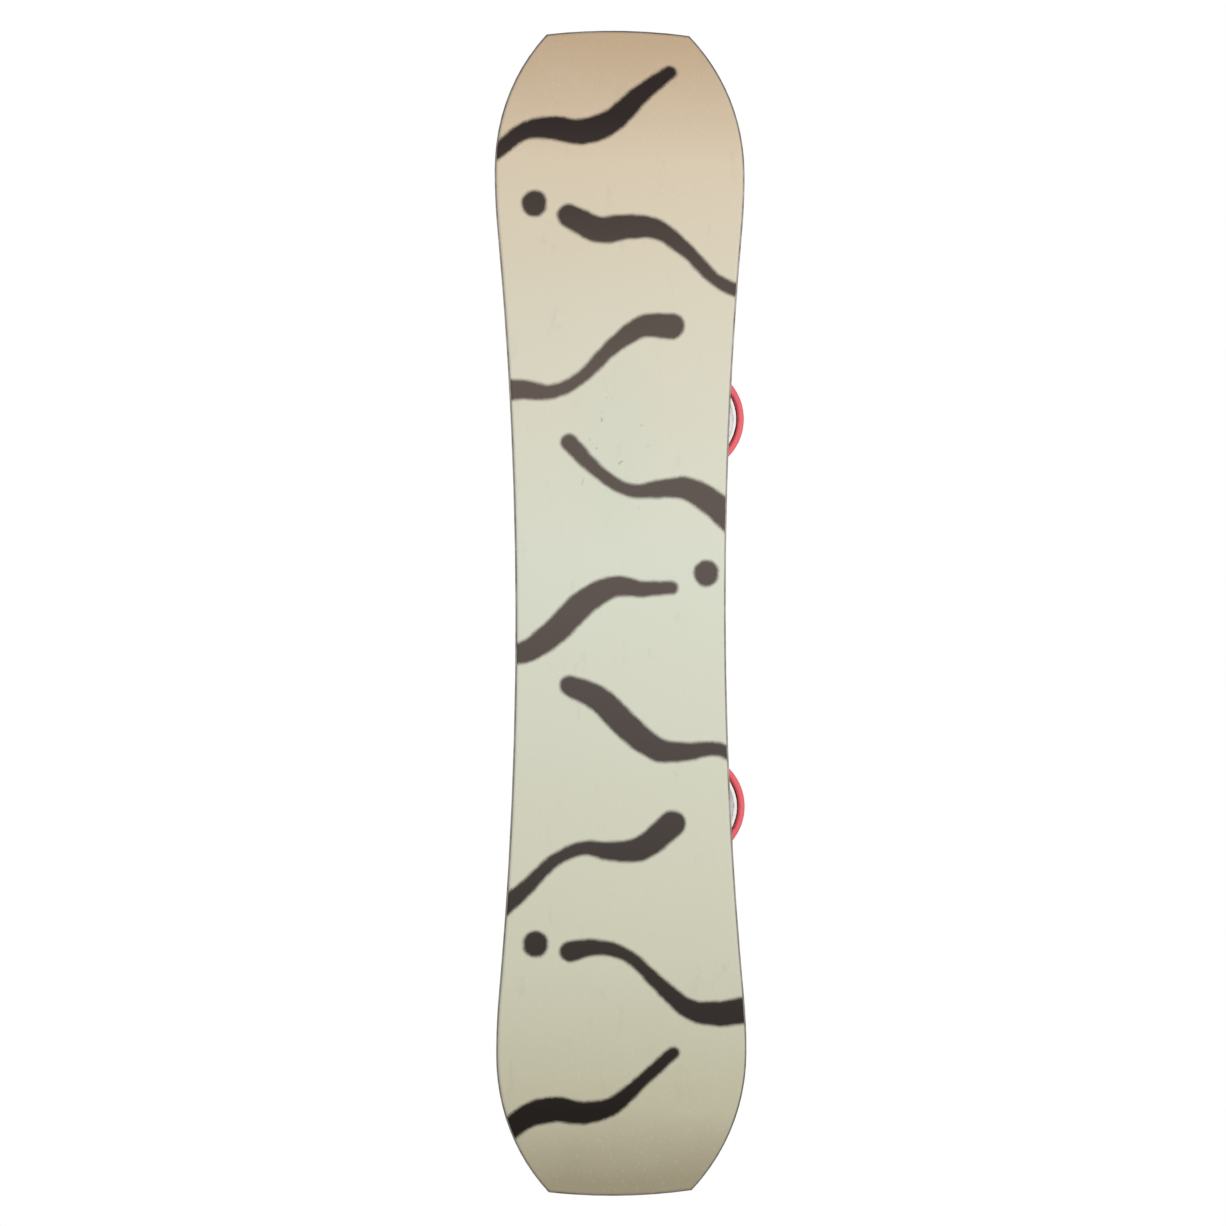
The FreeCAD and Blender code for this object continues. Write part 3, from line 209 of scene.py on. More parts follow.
def grey(level):
    return (level, level, level, 1.0)


def calc(tree, operation, first, second=None, third=None, clamp=False):
    node = tree.nodes.new("ShaderNodeMath")
    node.operation = operation
    node.use_clamp = clamp
    for socket, value in zip(node.inputs, (first, second, third)):
        put(tree, socket, value)
    return node.outputs[0]


def blendColour(tree, factor, first, second, way="MIX"):
    node = tree.nodes.new("ShaderNodeMix")
    node.data_type = "RGBA"
    node.blend_type = way
    put(tree, node.inputs[0], factor)
    put(tree, node.inputs[6], first)
    put(tree, node.inputs[7], second)
    return node.outputs[2]


def relief(tree, shader, height, distance, strength=1.0):
    node = tree.nodes.new("ShaderNodeBump")
    node.inputs["Strength"].default_value = strength
    node.inputs["Distance"].default_value = distance
    tree.links.new(height, node.inputs["Height"])
    tree.links.new(node.outputs["Normal"], shader.inputs["Normal"])


def axis(tree, vector, letter):
    node = tree.nodes.new("ShaderNodeSeparateXYZ")
    put(tree, node.inputs[0], vector)
    return node.outputs[letter]


# finishes
def mottled(name, dark, light, spread=18, grain=900, bumpDepth=0.00006, roughRange=(0.4, 0.6), **sockets):
    # moulded plastic or rubber: two close colours in soft clouds, a fine moulded grain, and uneven gloss
    material, tree, shader = newMaterial(name, **sockets)
    where = coords(tree)
    clouds = noise(tree, where, spread, 4, 0.6)
    speck = noise(tree, where, grain, 2, 0.5)
    colour = ramp(tree, calc(tree, "MULTIPLY_ADD", speck, 0.25, calc(tree, "MULTIPLY", clouds, 0.75)),
                  [(0.32, dark), (0.68, light)])
    tree.links.new(colour, shader.inputs["Base Color"])
    scuffs = noise(tree, coords(tree, (1, 7, 3), (0, 0, 0.5)), 60, 6, 0.7)
    tree.links.new(ramp(tree, scuffs, [(0.35, grey(roughRange[0])), (0.7, grey(roughRange[1]))]),
                   shader.inputs["Roughness"])
    relief(tree, shader, calc(tree, "ADD", speck, calc(tree, "MULTIPLY", cells(tree, where, grain * 1.4), 0.6)),
           bumpDepth)
    return material


def brushed(name, dark, light, along=(1, 40, 40), metallic=1.0, roughRange=(0.25, 0.42), depth=0.00002, **sockets):
    # metal: long fine streaks along one direction, with a few darker clouds and tiny scratches
    material, tree, shader = newMaterial(name, Metallic=metallic, **sockets)
    streaks = noise(tree, coords(tree, along), 60, 5, 0.65)
    clouds = noise(tree, coords(tree), 35, 3, 0.5)
    both = calc(tree, "MULTIPLY_ADD", streaks, 0.6, calc(tree, "MULTIPLY", clouds, 0.4))
    tree.links.new(ramp(tree, both, [(0.3, dark), (0.7, light)]), shader.inputs["Base Color"])
    tree.links.new(ramp(tree, both, [(0.3, grey(roughRange[1])), (0.7, grey(roughRange[0]))]),
                   shader.inputs["Roughness"])
    relief(tree, shader, streaks, depth)
    return material


def woven(name, dark, light, pitch=1.3, depth=0.00018, sheen=0.35, **sockets):
    # cloth: two crossed sets of threads over soft clouds of colour
    material, tree, shader = newMaterial(name, Roughness=0.85, Specular_IOR_Level=0.25, Sheen_Weight=sheen,
                                         Sheen_Roughness=0.45, **sockets)
    threads = 1 / (pitch * mm) / 3.1416
    over = waves(tree, coords(tree, turn=(0.3, 0.2, 0.75)), threads, "X", 0.6, 1)
    under = waves(tree, coords(tree, turn=(0.3, 0.2, 0.75)), threads, "Y", 0.6, 1)
    rise = calc(tree, "MAXIMUM", over, under)
    clouds = noise(tree, coords(tree), 45, 4, 0.6)
    fuzz = noise(tree, coords(tree), 1800, 2, 0.6)
    tint = calc(tree, "MULTIPLY_ADD", rise, 0.5,
                calc(tree, "MULTIPLY_ADD", clouds, 0.35, calc(tree, "MULTIPLY", fuzz, 0.25)))
    tree.links.new(ramp(tree, tint, [(0.3, dark), (0.85, light)]), shader.inputs["Base Color"])
    relief(tree, shader, calc(tree, "MULTIPLY_ADD", fuzz, 0.3, rise), depth)
    return material


finishes = {}
finishes["edge"] = brushed("edgeSteel", tone(96, 90, 84), tone(158, 152, 146), (1, 1, 12), roughRange=(0.3, 0.5))
finishes["hardware"] = brushed("zincSteel", tone(128, 130, 134), tone(186, 188, 192), (12, 12, 2))
finishes["ratchet"] = brushed("satinAluminium", tone(168, 170, 174), tone(214, 215, 218), (3, 25, 25))
finishes["lever"] = brushed("darkAnodised", tone(62, 63, 67), tone(104, 106, 110), (3, 25, 25))
finishes["release"] = brushed("redAnodised", tone(188, 48, 58), tone(228, 88, 96), (3, 25, 25), metallic=0.7)
finishes["hoop"] = mottled("redPaint", tone(216, 66, 80), tone(224, 76, 88), 10, 2600, 0.000004, (0.26, 0.36),
                           Metallic=0.15, Coat_Weight=0.35, Coat_Roughness=0.18)
finishes["gasket"] = mottled("gasketFoam", tone(44, 44, 46), tone(64, 64, 66), 30, 1500, 0.00012, (0.75, 0.95))
finishes["baseplate"] = mottled("baseplateNylon", tone(34, 34, 37), tone(54, 54, 58), 16, 1100, 0.00005,
                                (0.38, 0.6))
finishes["disc"] = mottled("discNylon", tone(50, 50, 54), tone(74, 74, 79), 20, 1100, 0.00005, (0.4, 0.62))
finishes["footbed"] = mottled("footbedFoam", tone(92, 92, 96), tone(122, 122, 126), 26, 1300, 0.00015, (0.75, 0.92))
finishes["ramp"] = mottled("rampRubber", tone(30, 30, 31), tone(46, 46, 48), 30, 1600, 0.0001, (0.6, 0.8))
finishes["shell"] = mottled("shellPlastic", tone(243, 242, 241), tone(252, 251, 249), 14, 900, 0.00003,
                            (0.3, 0.5), Subsurface_Weight=0.03)
finishes["connector"] = mottled("strapPlastic", tone(38, 38, 40), tone(60, 60, 63), 30, 1200, 0.00006, (0.35, 0.55))
finishes["ladder"] = mottled("ladderPlastic", tone(70, 70, 74), tone(98, 98, 103), 40, 1200, 0.00004, (0.3, 0.48))
finishes["sidewall"] = mottled("sidewallPlastic", tone(40, 34, 30), tone(66, 57, 50), 12, 800, 0.00008, (0.4, 0.7))
finishes["backCushion"] = woven("backCushionCloth", tone(62, 61, 65), tone(104, 102, 107), 1.5, 0.00009)
finishes["strapCushion"] = woven("strapCushionCloth", tone(52, 50, 52), tone(90, 87, 89), 1.2, 0.00009)
finishes["thread"] = woven("threadPolyester", tone(196, 60, 72), tone(226, 96, 104), 0.5, 0.00005, 0.2)


def laminateFinish():
    # glass cloth set in resin: crossed bundles, slightly see-through at the edge
    material, tree, shader = newMaterial("glassLaminate", Roughness=0.3, Coat_Weight=0.2)
    across = waves(tree, coords(tree), 160, "X", 0.4, 1)
    down = waves(tree, coords(tree), 160, "Y", 0.4, 1)
    weave = calc(tree, "MAXIMUM", across, down)
    tree.links.new(ramp(tree, weave, [(0.1, tone(176, 178, 150)), (0.9, tone(214, 214, 190))]),
                   shader.inputs["Base Color"])
    relief(tree, shader, weave, 0.00005)
    return material


def woodFinish():
    # laminated strips along the board: one tone for each strip, with grain streaks along it
    material, tree, shader = newMaterial("stripWood", Roughness=0.55)
    strip = tree.nodes.new("ShaderNodeTexWhiteNoise")
    strip.noise_dimensions = "1D"
    number = calc(tree, "FLOOR", calc(tree, "DIVIDE", axis(tree, coords(tree), "Y"), 0.018))
    tree.links.new(number, strip.inputs["W"])
    grain = noise(tree, coords(tree, (1.5, 60, 60)), 12, 6, 0.7, 0.4)
    tint = calc(tree, "MULTIPLY_ADD", strip.outputs["Value"], 0.4, calc(tree, "MULTIPLY", grain, 0.6))
    tree.links.new(ramp(tree, tint, [(0.2, tone(168, 128, 84)), (0.55, tone(205, 170, 122)),
                                     (0.85, tone(226, 200, 158))]), shader.inputs["Base Color"])
    relief(tree, shader, grain, 0.00006)
    return material


topsheetLook = dict(halfLength=0.71, bandScale=2.6, bandSwirl=7.0)


def topsheetFinish(look):
    # a satin printed sheet: cream in the middle to coffee at both ends, with slow drifting bands and fine flecks
    material, tree, shader = newMaterial("topsheetPrint", Coat_Weight=0.3, Coat_Roughness=0.3,
                                         Specular_IOR_Level=0.35)
    along = calc(tree, "ABSOLUTE", axis(tree, coords(tree), "X"))
    place = calc(tree, "DIVIDE", along, look["halfLength"])
    drift = noise(tree, coords(tree, (1, 2.2, 1)), 5, 3, 0.5, 1.5)
    base = ramp(tree, calc(tree, "MULTIPLY_ADD", drift, 0.18, place),
                [(0.1, tone(212, 209, 190)), (0.5, tone(201, 192, 164)), (0.85, tone(128, 104, 80)),
                 (1.0, tone(70, 55, 44))])
    bands = waves(tree, coords(tree, (1, 1.6, 1), (0, 0, 0.35)), look["bandScale"], "X", look["bandSwirl"], 3)
    inked = ramp(tree, bands, [(0.72, grey(0)), (0.86, grey(1))])
    colour = blendColour(tree, calc(tree, "MULTIPLY", inked, 0.7), base, tone(74, 62, 54))
    fleck = ramp(tree, noise(tree, coords(tree), 420, 3, 0.6), [(0.62, grey(0)), (0.7, grey(1))])
    colour = blendColour(tree, calc(tree, "MULTIPLY", fleck, 0.22), colour, tone(226, 222, 206))
    tree.links.new(colour, shader.inputs["Base Color"])
    scratches = noise(tree, coords(tree, (2, 50, 2), (0, 0, 0.25)), 14, 8, 0.75)
    tree.links.new(ramp(tree, scratches, [(0.35, grey(0.34)), (0.7, grey(0.5))]), shader.inputs["Roughness"])
    relief(tree, shader, scratches, 0.00003)
    return material


finishes["laminate"] = laminateFinish()
finishes["core"] = woodFinish()
finishes["topsheet"] = topsheetFinish(topsheetLook)

keptNodes = {"core": "core", "inserts": "hardware", "lower_laminate": "laminate", "upper_laminate": "laminate",
             "sidewalls": "sidewall", "steel_edge": "edge", "topsheet": "topsheet"}
for side in sides:
    for part in ("disc_screws", "hoop_screws", "strap_bolts", "highback_pivots"):
        keptNodes[f"{side}_{part}"] = "hardware"
for node, finish in keptNodes.items():
    for place in nodes[node].material_slots:
        place.material = finishes[finish]
print("finishes made")


# running base
board = dict(length=1.42, waist=0.2528, widest=0.301, widestAt=0.53, blend=0.79, tipSide=0.27, corner=0.174,
             contact=0.5, rise=0.04, inset=0.002, thickness=0.0013, cellsLong=430, cellsWide=88)


def planOutline(size):
    # gives the half width at a distance from the middle, and where the side meets the bowed end:
    # a hollow sidecut arc, a blend arc to the widest place, and the round side of the tip
    waist, widest = size["waist"] / 2, size["widest"] / 2
    flare = widest - waist
    radiiSum = (size["widestAt"] ** 2 + flare ** 2) / (2 * flare)
    sidecut = radiiSum - size["blend"] + size["inset"]
    touch = size["widestAt"] * sidecut / radiiSum
    drop = size["corner"] / 2 - widest + size["tipSide"]
    run = math.sqrt(size["tipSide"] ** 2 - drop ** 2) - size["inset"]
    cornerAt = size["widestAt"] + run
    cornerOut = widest - size["tipSide"] + math.sqrt((size["tipSide"] - size["inset"]) ** 2 - run ** 2)
    bow = size["length"] / 2 - size["inset"] - cornerAt
    endRadius = (cornerOut ** 2 + bow ** 2) / (2 * bow)

    def halfWidth(x):
        hollow = waist + radiiSum - size["blend"] - np.sqrt(sidecut ** 2 - np.minimum(x, touch) ** 2)
        past = np.maximum(x - size["widestAt"], 0)
        before = np.minimum(x - size["widestAt"], 0)
        full = widest - size["blend"] + np.sqrt((size["blend"] - size["inset"]) ** 2 - before ** 2)
        tip = widest - size["tipSide"] + np.sqrt((size["tipSide"] - size["inset"]) ** 2 - past ** 2)
        return np.where(x < touch, hollow, np.where(x < size["widestAt"], full, tip))

    def endAt(y):
        return cornerAt + bow - endRadius + np.sqrt(endRadius ** 2 - y ** 2)
    return halfWidth, cornerAt, cornerOut, endAt


# plain brush marks: wavering bars that come in from alternate edges at an even pitch, sizes in mm
brushwork = dict(count=9, pitch=148, reach=112, lean=46, sway=17, width=24, swell=0.35, points=7, dotWidth=30,
                 dotEvery=3)


def brushMarks(look):
    # (towards the nose, towards the heel edge, width) along each mark, t running from the edge inwards:
    # along = middle + lean x (2t - 1) + sway x a sine wave shifted from mark to mark
    t = np.linspace(0, 1, look["points"])
    marks = []
    for index in range(look["count"]):
        middle = (index - (look["count"] - 1) / 2) * look["pitch"]
        side = 1 if index % 2 else -1
        wave = np.sin(2 * np.pi * (1.2 * t + 0.38 * index))
        along = middle + look["lean"] * (2 * t - 1) + look["sway"] * wave
        across = side * look["reach"] * (1.35 - 1.9 * t)
        width = look["width"] * (1 + look["swell"] * np.sin(2 * np.pi * (0.8 * t + 0.23 * index)))
        marks.append(np.stack([along, across, width], -1))
        if index % look["dotEvery"] == 1:
            dot = np.array([middle + look["lean"], -side * look["reach"] * 0.92, look["dotWidth"]])
            marks.append(np.stack([dot, dot + (2, 0, 0)]))
    return marks


def smoothRun(points, steps):
    # a rounded path through the points: each span is the usual four-point cubic
    points = np.array(points, float) * mm
    padded = np.vstack([2 * points[0] - points[1], points, 2 * points[-1] - points[-2]])
    before, start, end, after = padded[:-3, None], padded[1:-2, None], padded[2:-1, None], padded[3:, None]
    t = (np.arange(steps) / steps)[None, :, None]
    path = 0.5 * (2 * start + (end - before) * t + (2 * before - 5 * start + 4 * end - after) * t ** 2
                  + (3 * start - before - 3 * end + after) * t ** 3)
    return np.vstack([path.reshape(-1, 3), points[-1]])


def inkDistance(x, y):
    # distance to the nearest mark's edge, negative inside: a chain of round-ended, tapering bars
    nearest = np.full(x.shape, 1.0)
    for mark in brushMarks(brushwork):
        path = smoothRun(mark, 9)
        for (ax, ay, aw), (bx, by, bw) in zip(path[:-1], path[1:]):
            dx, dy = bx - ax, by - ay
            share = np.clip(((x - ax) * dx + (y - ay) * dy) / max(dx * dx + dy * dy, 1e-12), 0, 1)
            gap = np.hypot(x - ax - share * dx, y - ay - share * dy) - (aw + share * (bw - aw)) / 2
            nearest = np.minimum(nearest, gap)
    return nearest


def bendUp(x, size):
    # height of the running surface: flat between the contacts, then one arc up to the tip's rise
    run = size["length"] / 2 - size["contact"]
    radius = (run ** 2 + size["rise"] ** 2) / (2 * size["rise"])
    past = np.maximum(np.abs(x) - size["contact"], 0)
    return radius - np.sqrt(radius ** 2 - past ** 2)


def closedGrid(low, high):
    # faces of two matching grids of points, joined round their rim into one closed solid
    rows, columns = low.shape[:2]
    index = np.arange(rows * columns).reshape(rows, columns)
    under = np.stack([index[:-1, :-1], index[:-1, 1:], index[1:, 1:], index[1:, :-1]], -1).reshape(-1, 4)
    over = under[:, ::-1] + rows * columns
    rim = np.concatenate([index[0, :-1], index[:-1, -1], index[-1, :0:-1], index[:0:-1, 0]])
    after = np.roll(rim, -1)
    wall = np.stack([after, rim, rim + rows * columns, after + rows * columns], -1)
    return np.vstack([low.reshape(-1, 3), high.reshape(-1, 3)]), np.vstack([under, over, wall])


def buildBase(size):
    # u runs tail to nose and v across: y is v times the half width there, and x is stretched to the bowed end
    halfWidth, cornerAt, cornerOut, endAt = planOutline(size)
    u = np.linspace(-1, 1, size["cellsLong"])[:, None] * np.ones((1, size["cellsWide"]))
    v = np.ones((size["cellsLong"], 1)) * np.linspace(-1, 1, size["cellsWide"])[None, :]
    x = u * endAt(v * cornerOut)
    x = u * cornerAt + (x - u * cornerAt) * np.abs(u) ** 6
    y = v * halfWidth(np.abs(u) * cornerAt)
    z = bendUp(x, size)
    low = np.stack([x, y, z], -1)
    high = np.stack([x, y, z + size["thickness"]], -1)
    points, faces = closedGrid(low, high)
    piece = meshPiece("runningBase", points, faces)
    ink = piece.data.attributes.new("ink", "FLOAT", "POINT")
    ink.data.foreach_set("value", np.tile(inkDistance(x, y).ravel(), 2))
    return piece


# ground and paint colours along the board, from the nose (mm from the middle) to the tail
baseTones = [(690, (195, 170, 140)), (540, (215, 200, 175)), (330, (215, 210, 190)), (60, (215, 217, 200)),
             (-420, (203, 202, 180)), (-600, (190, 185, 160)), (-690, (160, 150, 125))]
inkTones = [(600, (45, 36, 34)), (280, (95, 84, 77)), (0, (90, 80, 76)), (-300, (65, 58, 54)), (-600, (30, 24, 20))]


def baseFinish(size):
    # sintered base: cream fading to tan at the ends, airbrushed ink, a fine ground structure and faint scuffs
    material, tree, shader = newMaterial("printedBase", Roughness=0.42, Specular_IOR_Level=0.1)
    half = size["length"] / 2
    place = calc(tree, "MULTIPLY_ADD", axis(tree, coords(tree), "X"), 1 / size["length"], 0.5)
    cloud = noise(tree, coords(tree), 7, 3, 0.5)
    shifted = calc(tree, "MULTIPLY_ADD", cloud, 0.03, calc(tree, "SUBTRACT", place, 0.015))
    ground = ramp(tree, shifted, [((x * mm + half) / size["length"], tone(*rgb)) for x, rgb in baseTones])
    inked = ramp(tree, place, [((x * mm + half) / size["length"], tone(*rgb)) for x, rgb in inkTones])

    scuffPlace = noise(tree, coords(tree, (1, 3, 1), shift=(-0.1, 0, 0)), 16, 5, 0.7, 0.6)
    scuffs = ramp(tree, scuffPlace, [(0.6, grey(0)), (0.74, grey(1))])
    ground = blendColour(tree, calc(tree, "MULTIPLY", scuffs, 0.16), ground, tone(150, 156, 138))
    patch = tree.nodes.new("ShaderNodeVectorMath")
    patch.operation = "LENGTH"
    tree.links.new(coords(tree, (7, 15, 1), shift=(-1.5, 0.1, 0)), patch.inputs[0])
    worn = ramp(tree, patch.outputs["Value"], [(0.35, grey(1)), (1.0, grey(0))])
    ground = blendColour(tree, calc(tree, "MULTIPLY", worn, 0.3), ground, tone(204, 212, 194))
    nicks = ramp(tree, noise(tree, coords(tree, (1, 1.4, 1), (0, 0, 0.5)), 75, 4, 0.6, 0.5),
                 [(0.66, grey(0)), (0.72, grey(1))])
    ground = blendColour(tree, calc(tree, "MULTIPLY", calc(tree, "MULTIPLY", nicks, worn), 0.5), ground,
                         tone(140, 146, 132))
    fleck = ramp(tree, noise(tree, coords(tree), 260, 3, 0.6), [(0.3, grey(1)), (0.42, grey(0))])
    ground = blendColour(tree, calc(tree, "MULTIPLY", fleck, 0.12), ground, tone(236, 236, 222))

    reach = tree.nodes.new("ShaderNodeAttribute")
    reach.attribute_name = "ink"
    spray = noise(tree, coords(tree), 900, 3, 0.7)
    wander = noise(tree, coords(tree), 60, 3, 0.6)
    wobble = calc(tree, "MULTIPLY_ADD", calc(tree, "SUBTRACT", spray, 0.5), 0.007,
                  calc(tree, "MULTIPLY", calc(tree, "SUBTRACT", wander, 0.5), 0.004))
    edge = calc(tree, "ADD", reach.outputs["Fac"], wobble)
    cover = tree.nodes.new("ShaderNodeMapRange")
    cover.interpolation_type = "SMOOTHSTEP"
    for socket, value in (("From Min", 0.003), ("From Max", -0.003), ("To Min", 0.0), ("To Max", 1.0)):
        cover.inputs[socket].default_value = value
    tree.links.new(edge, cover.inputs["Value"])
    haze = calc(tree, "MULTIPLY_ADD", spray, -0.12, 1.07)
    colour = blendColour(tree, calc(tree, "MULTIPLY", cover.outputs["Result"], haze, clamp=True), ground, inked)
    tree.links.new(colour, shader.inputs["Base Color"])

    structure = noise(tree, coords(tree, (3, 160, 1)), 14, 4, 0.6)
    tree.links.new(ramp(tree, structure, [(0.3, grey(0.36)), (0.7, grey(0.52))]), shader.inputs["Roughness"])
    relief(tree, shader, structure, 0.00003)
    return material


base = buildBase(board)
finishPiece(base, "board", "base_sheet", baseFinish(board), "base")
print("running base made")


# hard moulded and metal pieces
def moulded(name, node, voxel, rounds=4):
    # the node's shape remade on a fine even grid and relaxed, so that every edge has a small soft radius
    piece = mergedCopy(node, name)
    remesh = piece.modifiers.new("evenGrid", "REMESH")
    remesh.mode = "VOXEL"
    remesh.voxel_size = voxel
    remesh.use_smooth_shade = True
    relax = piece.modifiers.new("relax", "SMOOTH")
    relax.factor = 0.5
    relax.iterations = rounds
    bake(piece)
    piece.data.polygons.foreach_set("use_smooth", [True] * len(piece.data.polygons))
    return piece


# piece, node, body ("" is the node's own name), finish, slot, grid in mm, passes
hardPieces = [
    ("HeelHoopBand", "heel_hoop", "board", "hoop", "red_hoop", 1.0, 10),
    ("BaseplateMoulding", "baseplate", "board", "baseplate", "moulded_base", 1.4, 4),
    ("DiscMoulding", "disc", "board", "disc", "moulded_disc", 1.0, 3),
    ("GasketFoam", "gasket", "board", "gasket", "foam_gasket", 1.25, 3),
    ("ToeRampRubber", "toe_ramp", "board", "ramp", "rubber_ramp", 1.0, 5),
    ("HighbackShell", "highback", "highback", "shell", "highback_shell", 1.45, 4),
    ("LeanAdjuster", "lean_adjuster", "", "disc", "moulded_disc", 0.6, 4),
]
for strap in ("ankle", "toe"):
    name = strap.capitalize()
    hardPieces += [
        (f"{name}Connector", f"{strap}_connector", f"{strap}_strap", "connector", "strap_plastic", 0.6, 3),
        (f"{name}Ladder", f"{strap}_ladder", f"{strap}_strap", "ladder", "ladder_plastic", 0.5, 2),
        (f"{name}Ratchet", f"{strap}_ratchet", f"{strap}_strap", "ratchet", "ratchet_metal", 0.45, 3),
        (f"{name}RatchetLever", f"{strap}_ratchet_lever", "", "lever", "lever_metal", 0.45, 3),
        (f"{name}ReleaseLever", f"{strap}_release_lever", "", "release", "release_metal", 0.4, 3),
    ]

for side in sides:
    for label, node, body, finish, slotName, grid, passes in hardPieces:
        fullNode = f"{side}_{node}"
        piece = moulded(f"{side}{label}", fullNode, grid * mm, passes)
        rider = "board" if body == "board" else f"{side}_{body or node}"
        finishPiece(piece, rider, slotName, finishes[finish], fullNode)
    print(side, "hard pieces made")


# padded pieces
stance = dict(angle=12)
straps = {
    "ankle": dict(back=30, up=42, lean=63, leg=35, padWidth=50, crossings=(76, 86, 96, 106, 116)),
    "toe": dict(back=-62, up=24, lean=45, leg=18, padWidth=36, crossings=(80, 91, 102, 113)),
}
strapPadLook = dict(voxel=1.9, shrink=1.6, pressure=4, puff=4.0, coveredHalf=14.5, border=6.5, groove=1.4,
                    grooveHalf=1.3, stitchPitch=3.4, stitchLength=2.5, threadRadius=0.38)
backPadLook = dict(voxel=2.0, shrink=1.5, pressure=4, puff=6.0, border=8, groove=1.8, grooveHalf=1.9,
                   halfWidth=34.8, endRadius=38, channelPitch=20, stitchPitch=3.4, stitchLength=2.5,
                   threadRadius=0.38)
footbedLook = dict(voxel=2.3, shrink=0.9, pressure=4, puff=2.3, groove=1.1, grooveHalf=1.1, pitch=10, slant=0.45,
                   halfWidth=38)

discLow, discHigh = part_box("front_disc")
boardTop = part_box("front_gasket")[0].z
bindingFrame = (Matrix.Translation(((discLow.x + discHigh.x) / 2, (discLow.y + discHigh.y) / 2, boardTop))
                @ Matrix.Rotation(math.radians(stance["angle"]), 4, "Z"))


def strapFrame(size):
    # x across the boot, y over the strap's width, z up the strap from its bolts
    return (bindingFrame @ Matrix.Translation((0, size["back"] * mm, size["up"] * mm))
            @ Matrix.Rotation(math.radians(size["lean"]), 4, "X"))


def inFrame(place, points, turnOnly=False):
    # points (or directions) in a frame's own axes
    back = np.array(place.inverted())
    turned = points @ back[:3, :3].T
    return turned if turnOnly else turned + back[:3, 3]


def outOfFrame(place, points):
    matrix = np.array(place)
    return points @ matrix[:3, :3].T + matrix[:3, 3]


def cushion(name, node, look, reach):
    # the block on a fine even grid, drawn in, blown up by cloth pressure, and held within reach of its start
    piece = mergedCopy(node, name)
    remesh = piece.modifiers.new("evenGrid", "REMESH")
    remesh.mode = "VOXEL"
    remesh.voxel_size = look["voxel"] * mm
    bake(piece)
    mesh = piece.data
    start = readPoints(mesh) - readNormals(mesh) * look["shrink"] * mm
    writePoints(mesh, start)
    normals = readNormals(mesh)
    full = start + normals * look["puff"] * mm
    cloth = piece.modifiers.new("filling", "CLOTH")
    cloth.settings.quality = 4
    cloth.settings.use_pressure = True
    cloth.settings.uniform_pressure_force = look["pressure"]
    cloth.settings.effector_weights.gravity = 0
    for step in range(1, 21):
        bpy.context.scene.frame_set(step)
    swollen = piece.evaluated_get(bpy.context.evaluated_depsgraph_get())
    full = readPoints(swollen.data).copy()
    piece.modifiers.remove(cloth)
    bpy.context.scene.frame_set(1)
    move = full - start
    length = np.maximum(np.linalg.norm(move, axis=1), 1e-9)
    share = np.minimum(1, reach(start, normals) * mm / length)
    writePoints(mesh, start + move * share[:, None])
    relax = piece.modifiers.new("relax", "SMOOTH")
    relax.factor = 0.5
    relax.iterations = 2
    subdivide = piece.modifiers.new("subdivide", "SUBSURF")
    subdivide.levels = subdivide.render_levels = 1
    bake(piece)
    piece.data.polygons.foreach_set("use_smooth", [True] * len(piece.data.polygons))
    return piece


def engrave(piece, gap, half, depth, where=None):
    # sinks the surface along a line: gap is each point's distance from it, and the dip is bell shaped
    points, normals = readPoints(piece.data), readNormals(piece.data)
    dip = depth * mm * np.exp(-(gap / half) ** 2)
    if where is not None:
        dip = dip * where
    writePoints(piece.data, points - normals * dip[:, None])


def surfaceHits(piece, starts, aims):
    mesh = piece.data
    tree = BVHTree.FromPolygons([v.co for v in mesh.vertices], [tuple(p.vertices) for p in mesh.polygons])
    hits = [tree.ray_cast(Vector(start), Vector(aim)) for start, aim in zip(starts, aims)]
    found = [hit for hit in hits if hit[0] is not None]
    return np.array([hit[0] for hit in found]), np.array([hit[1] for hit in found])


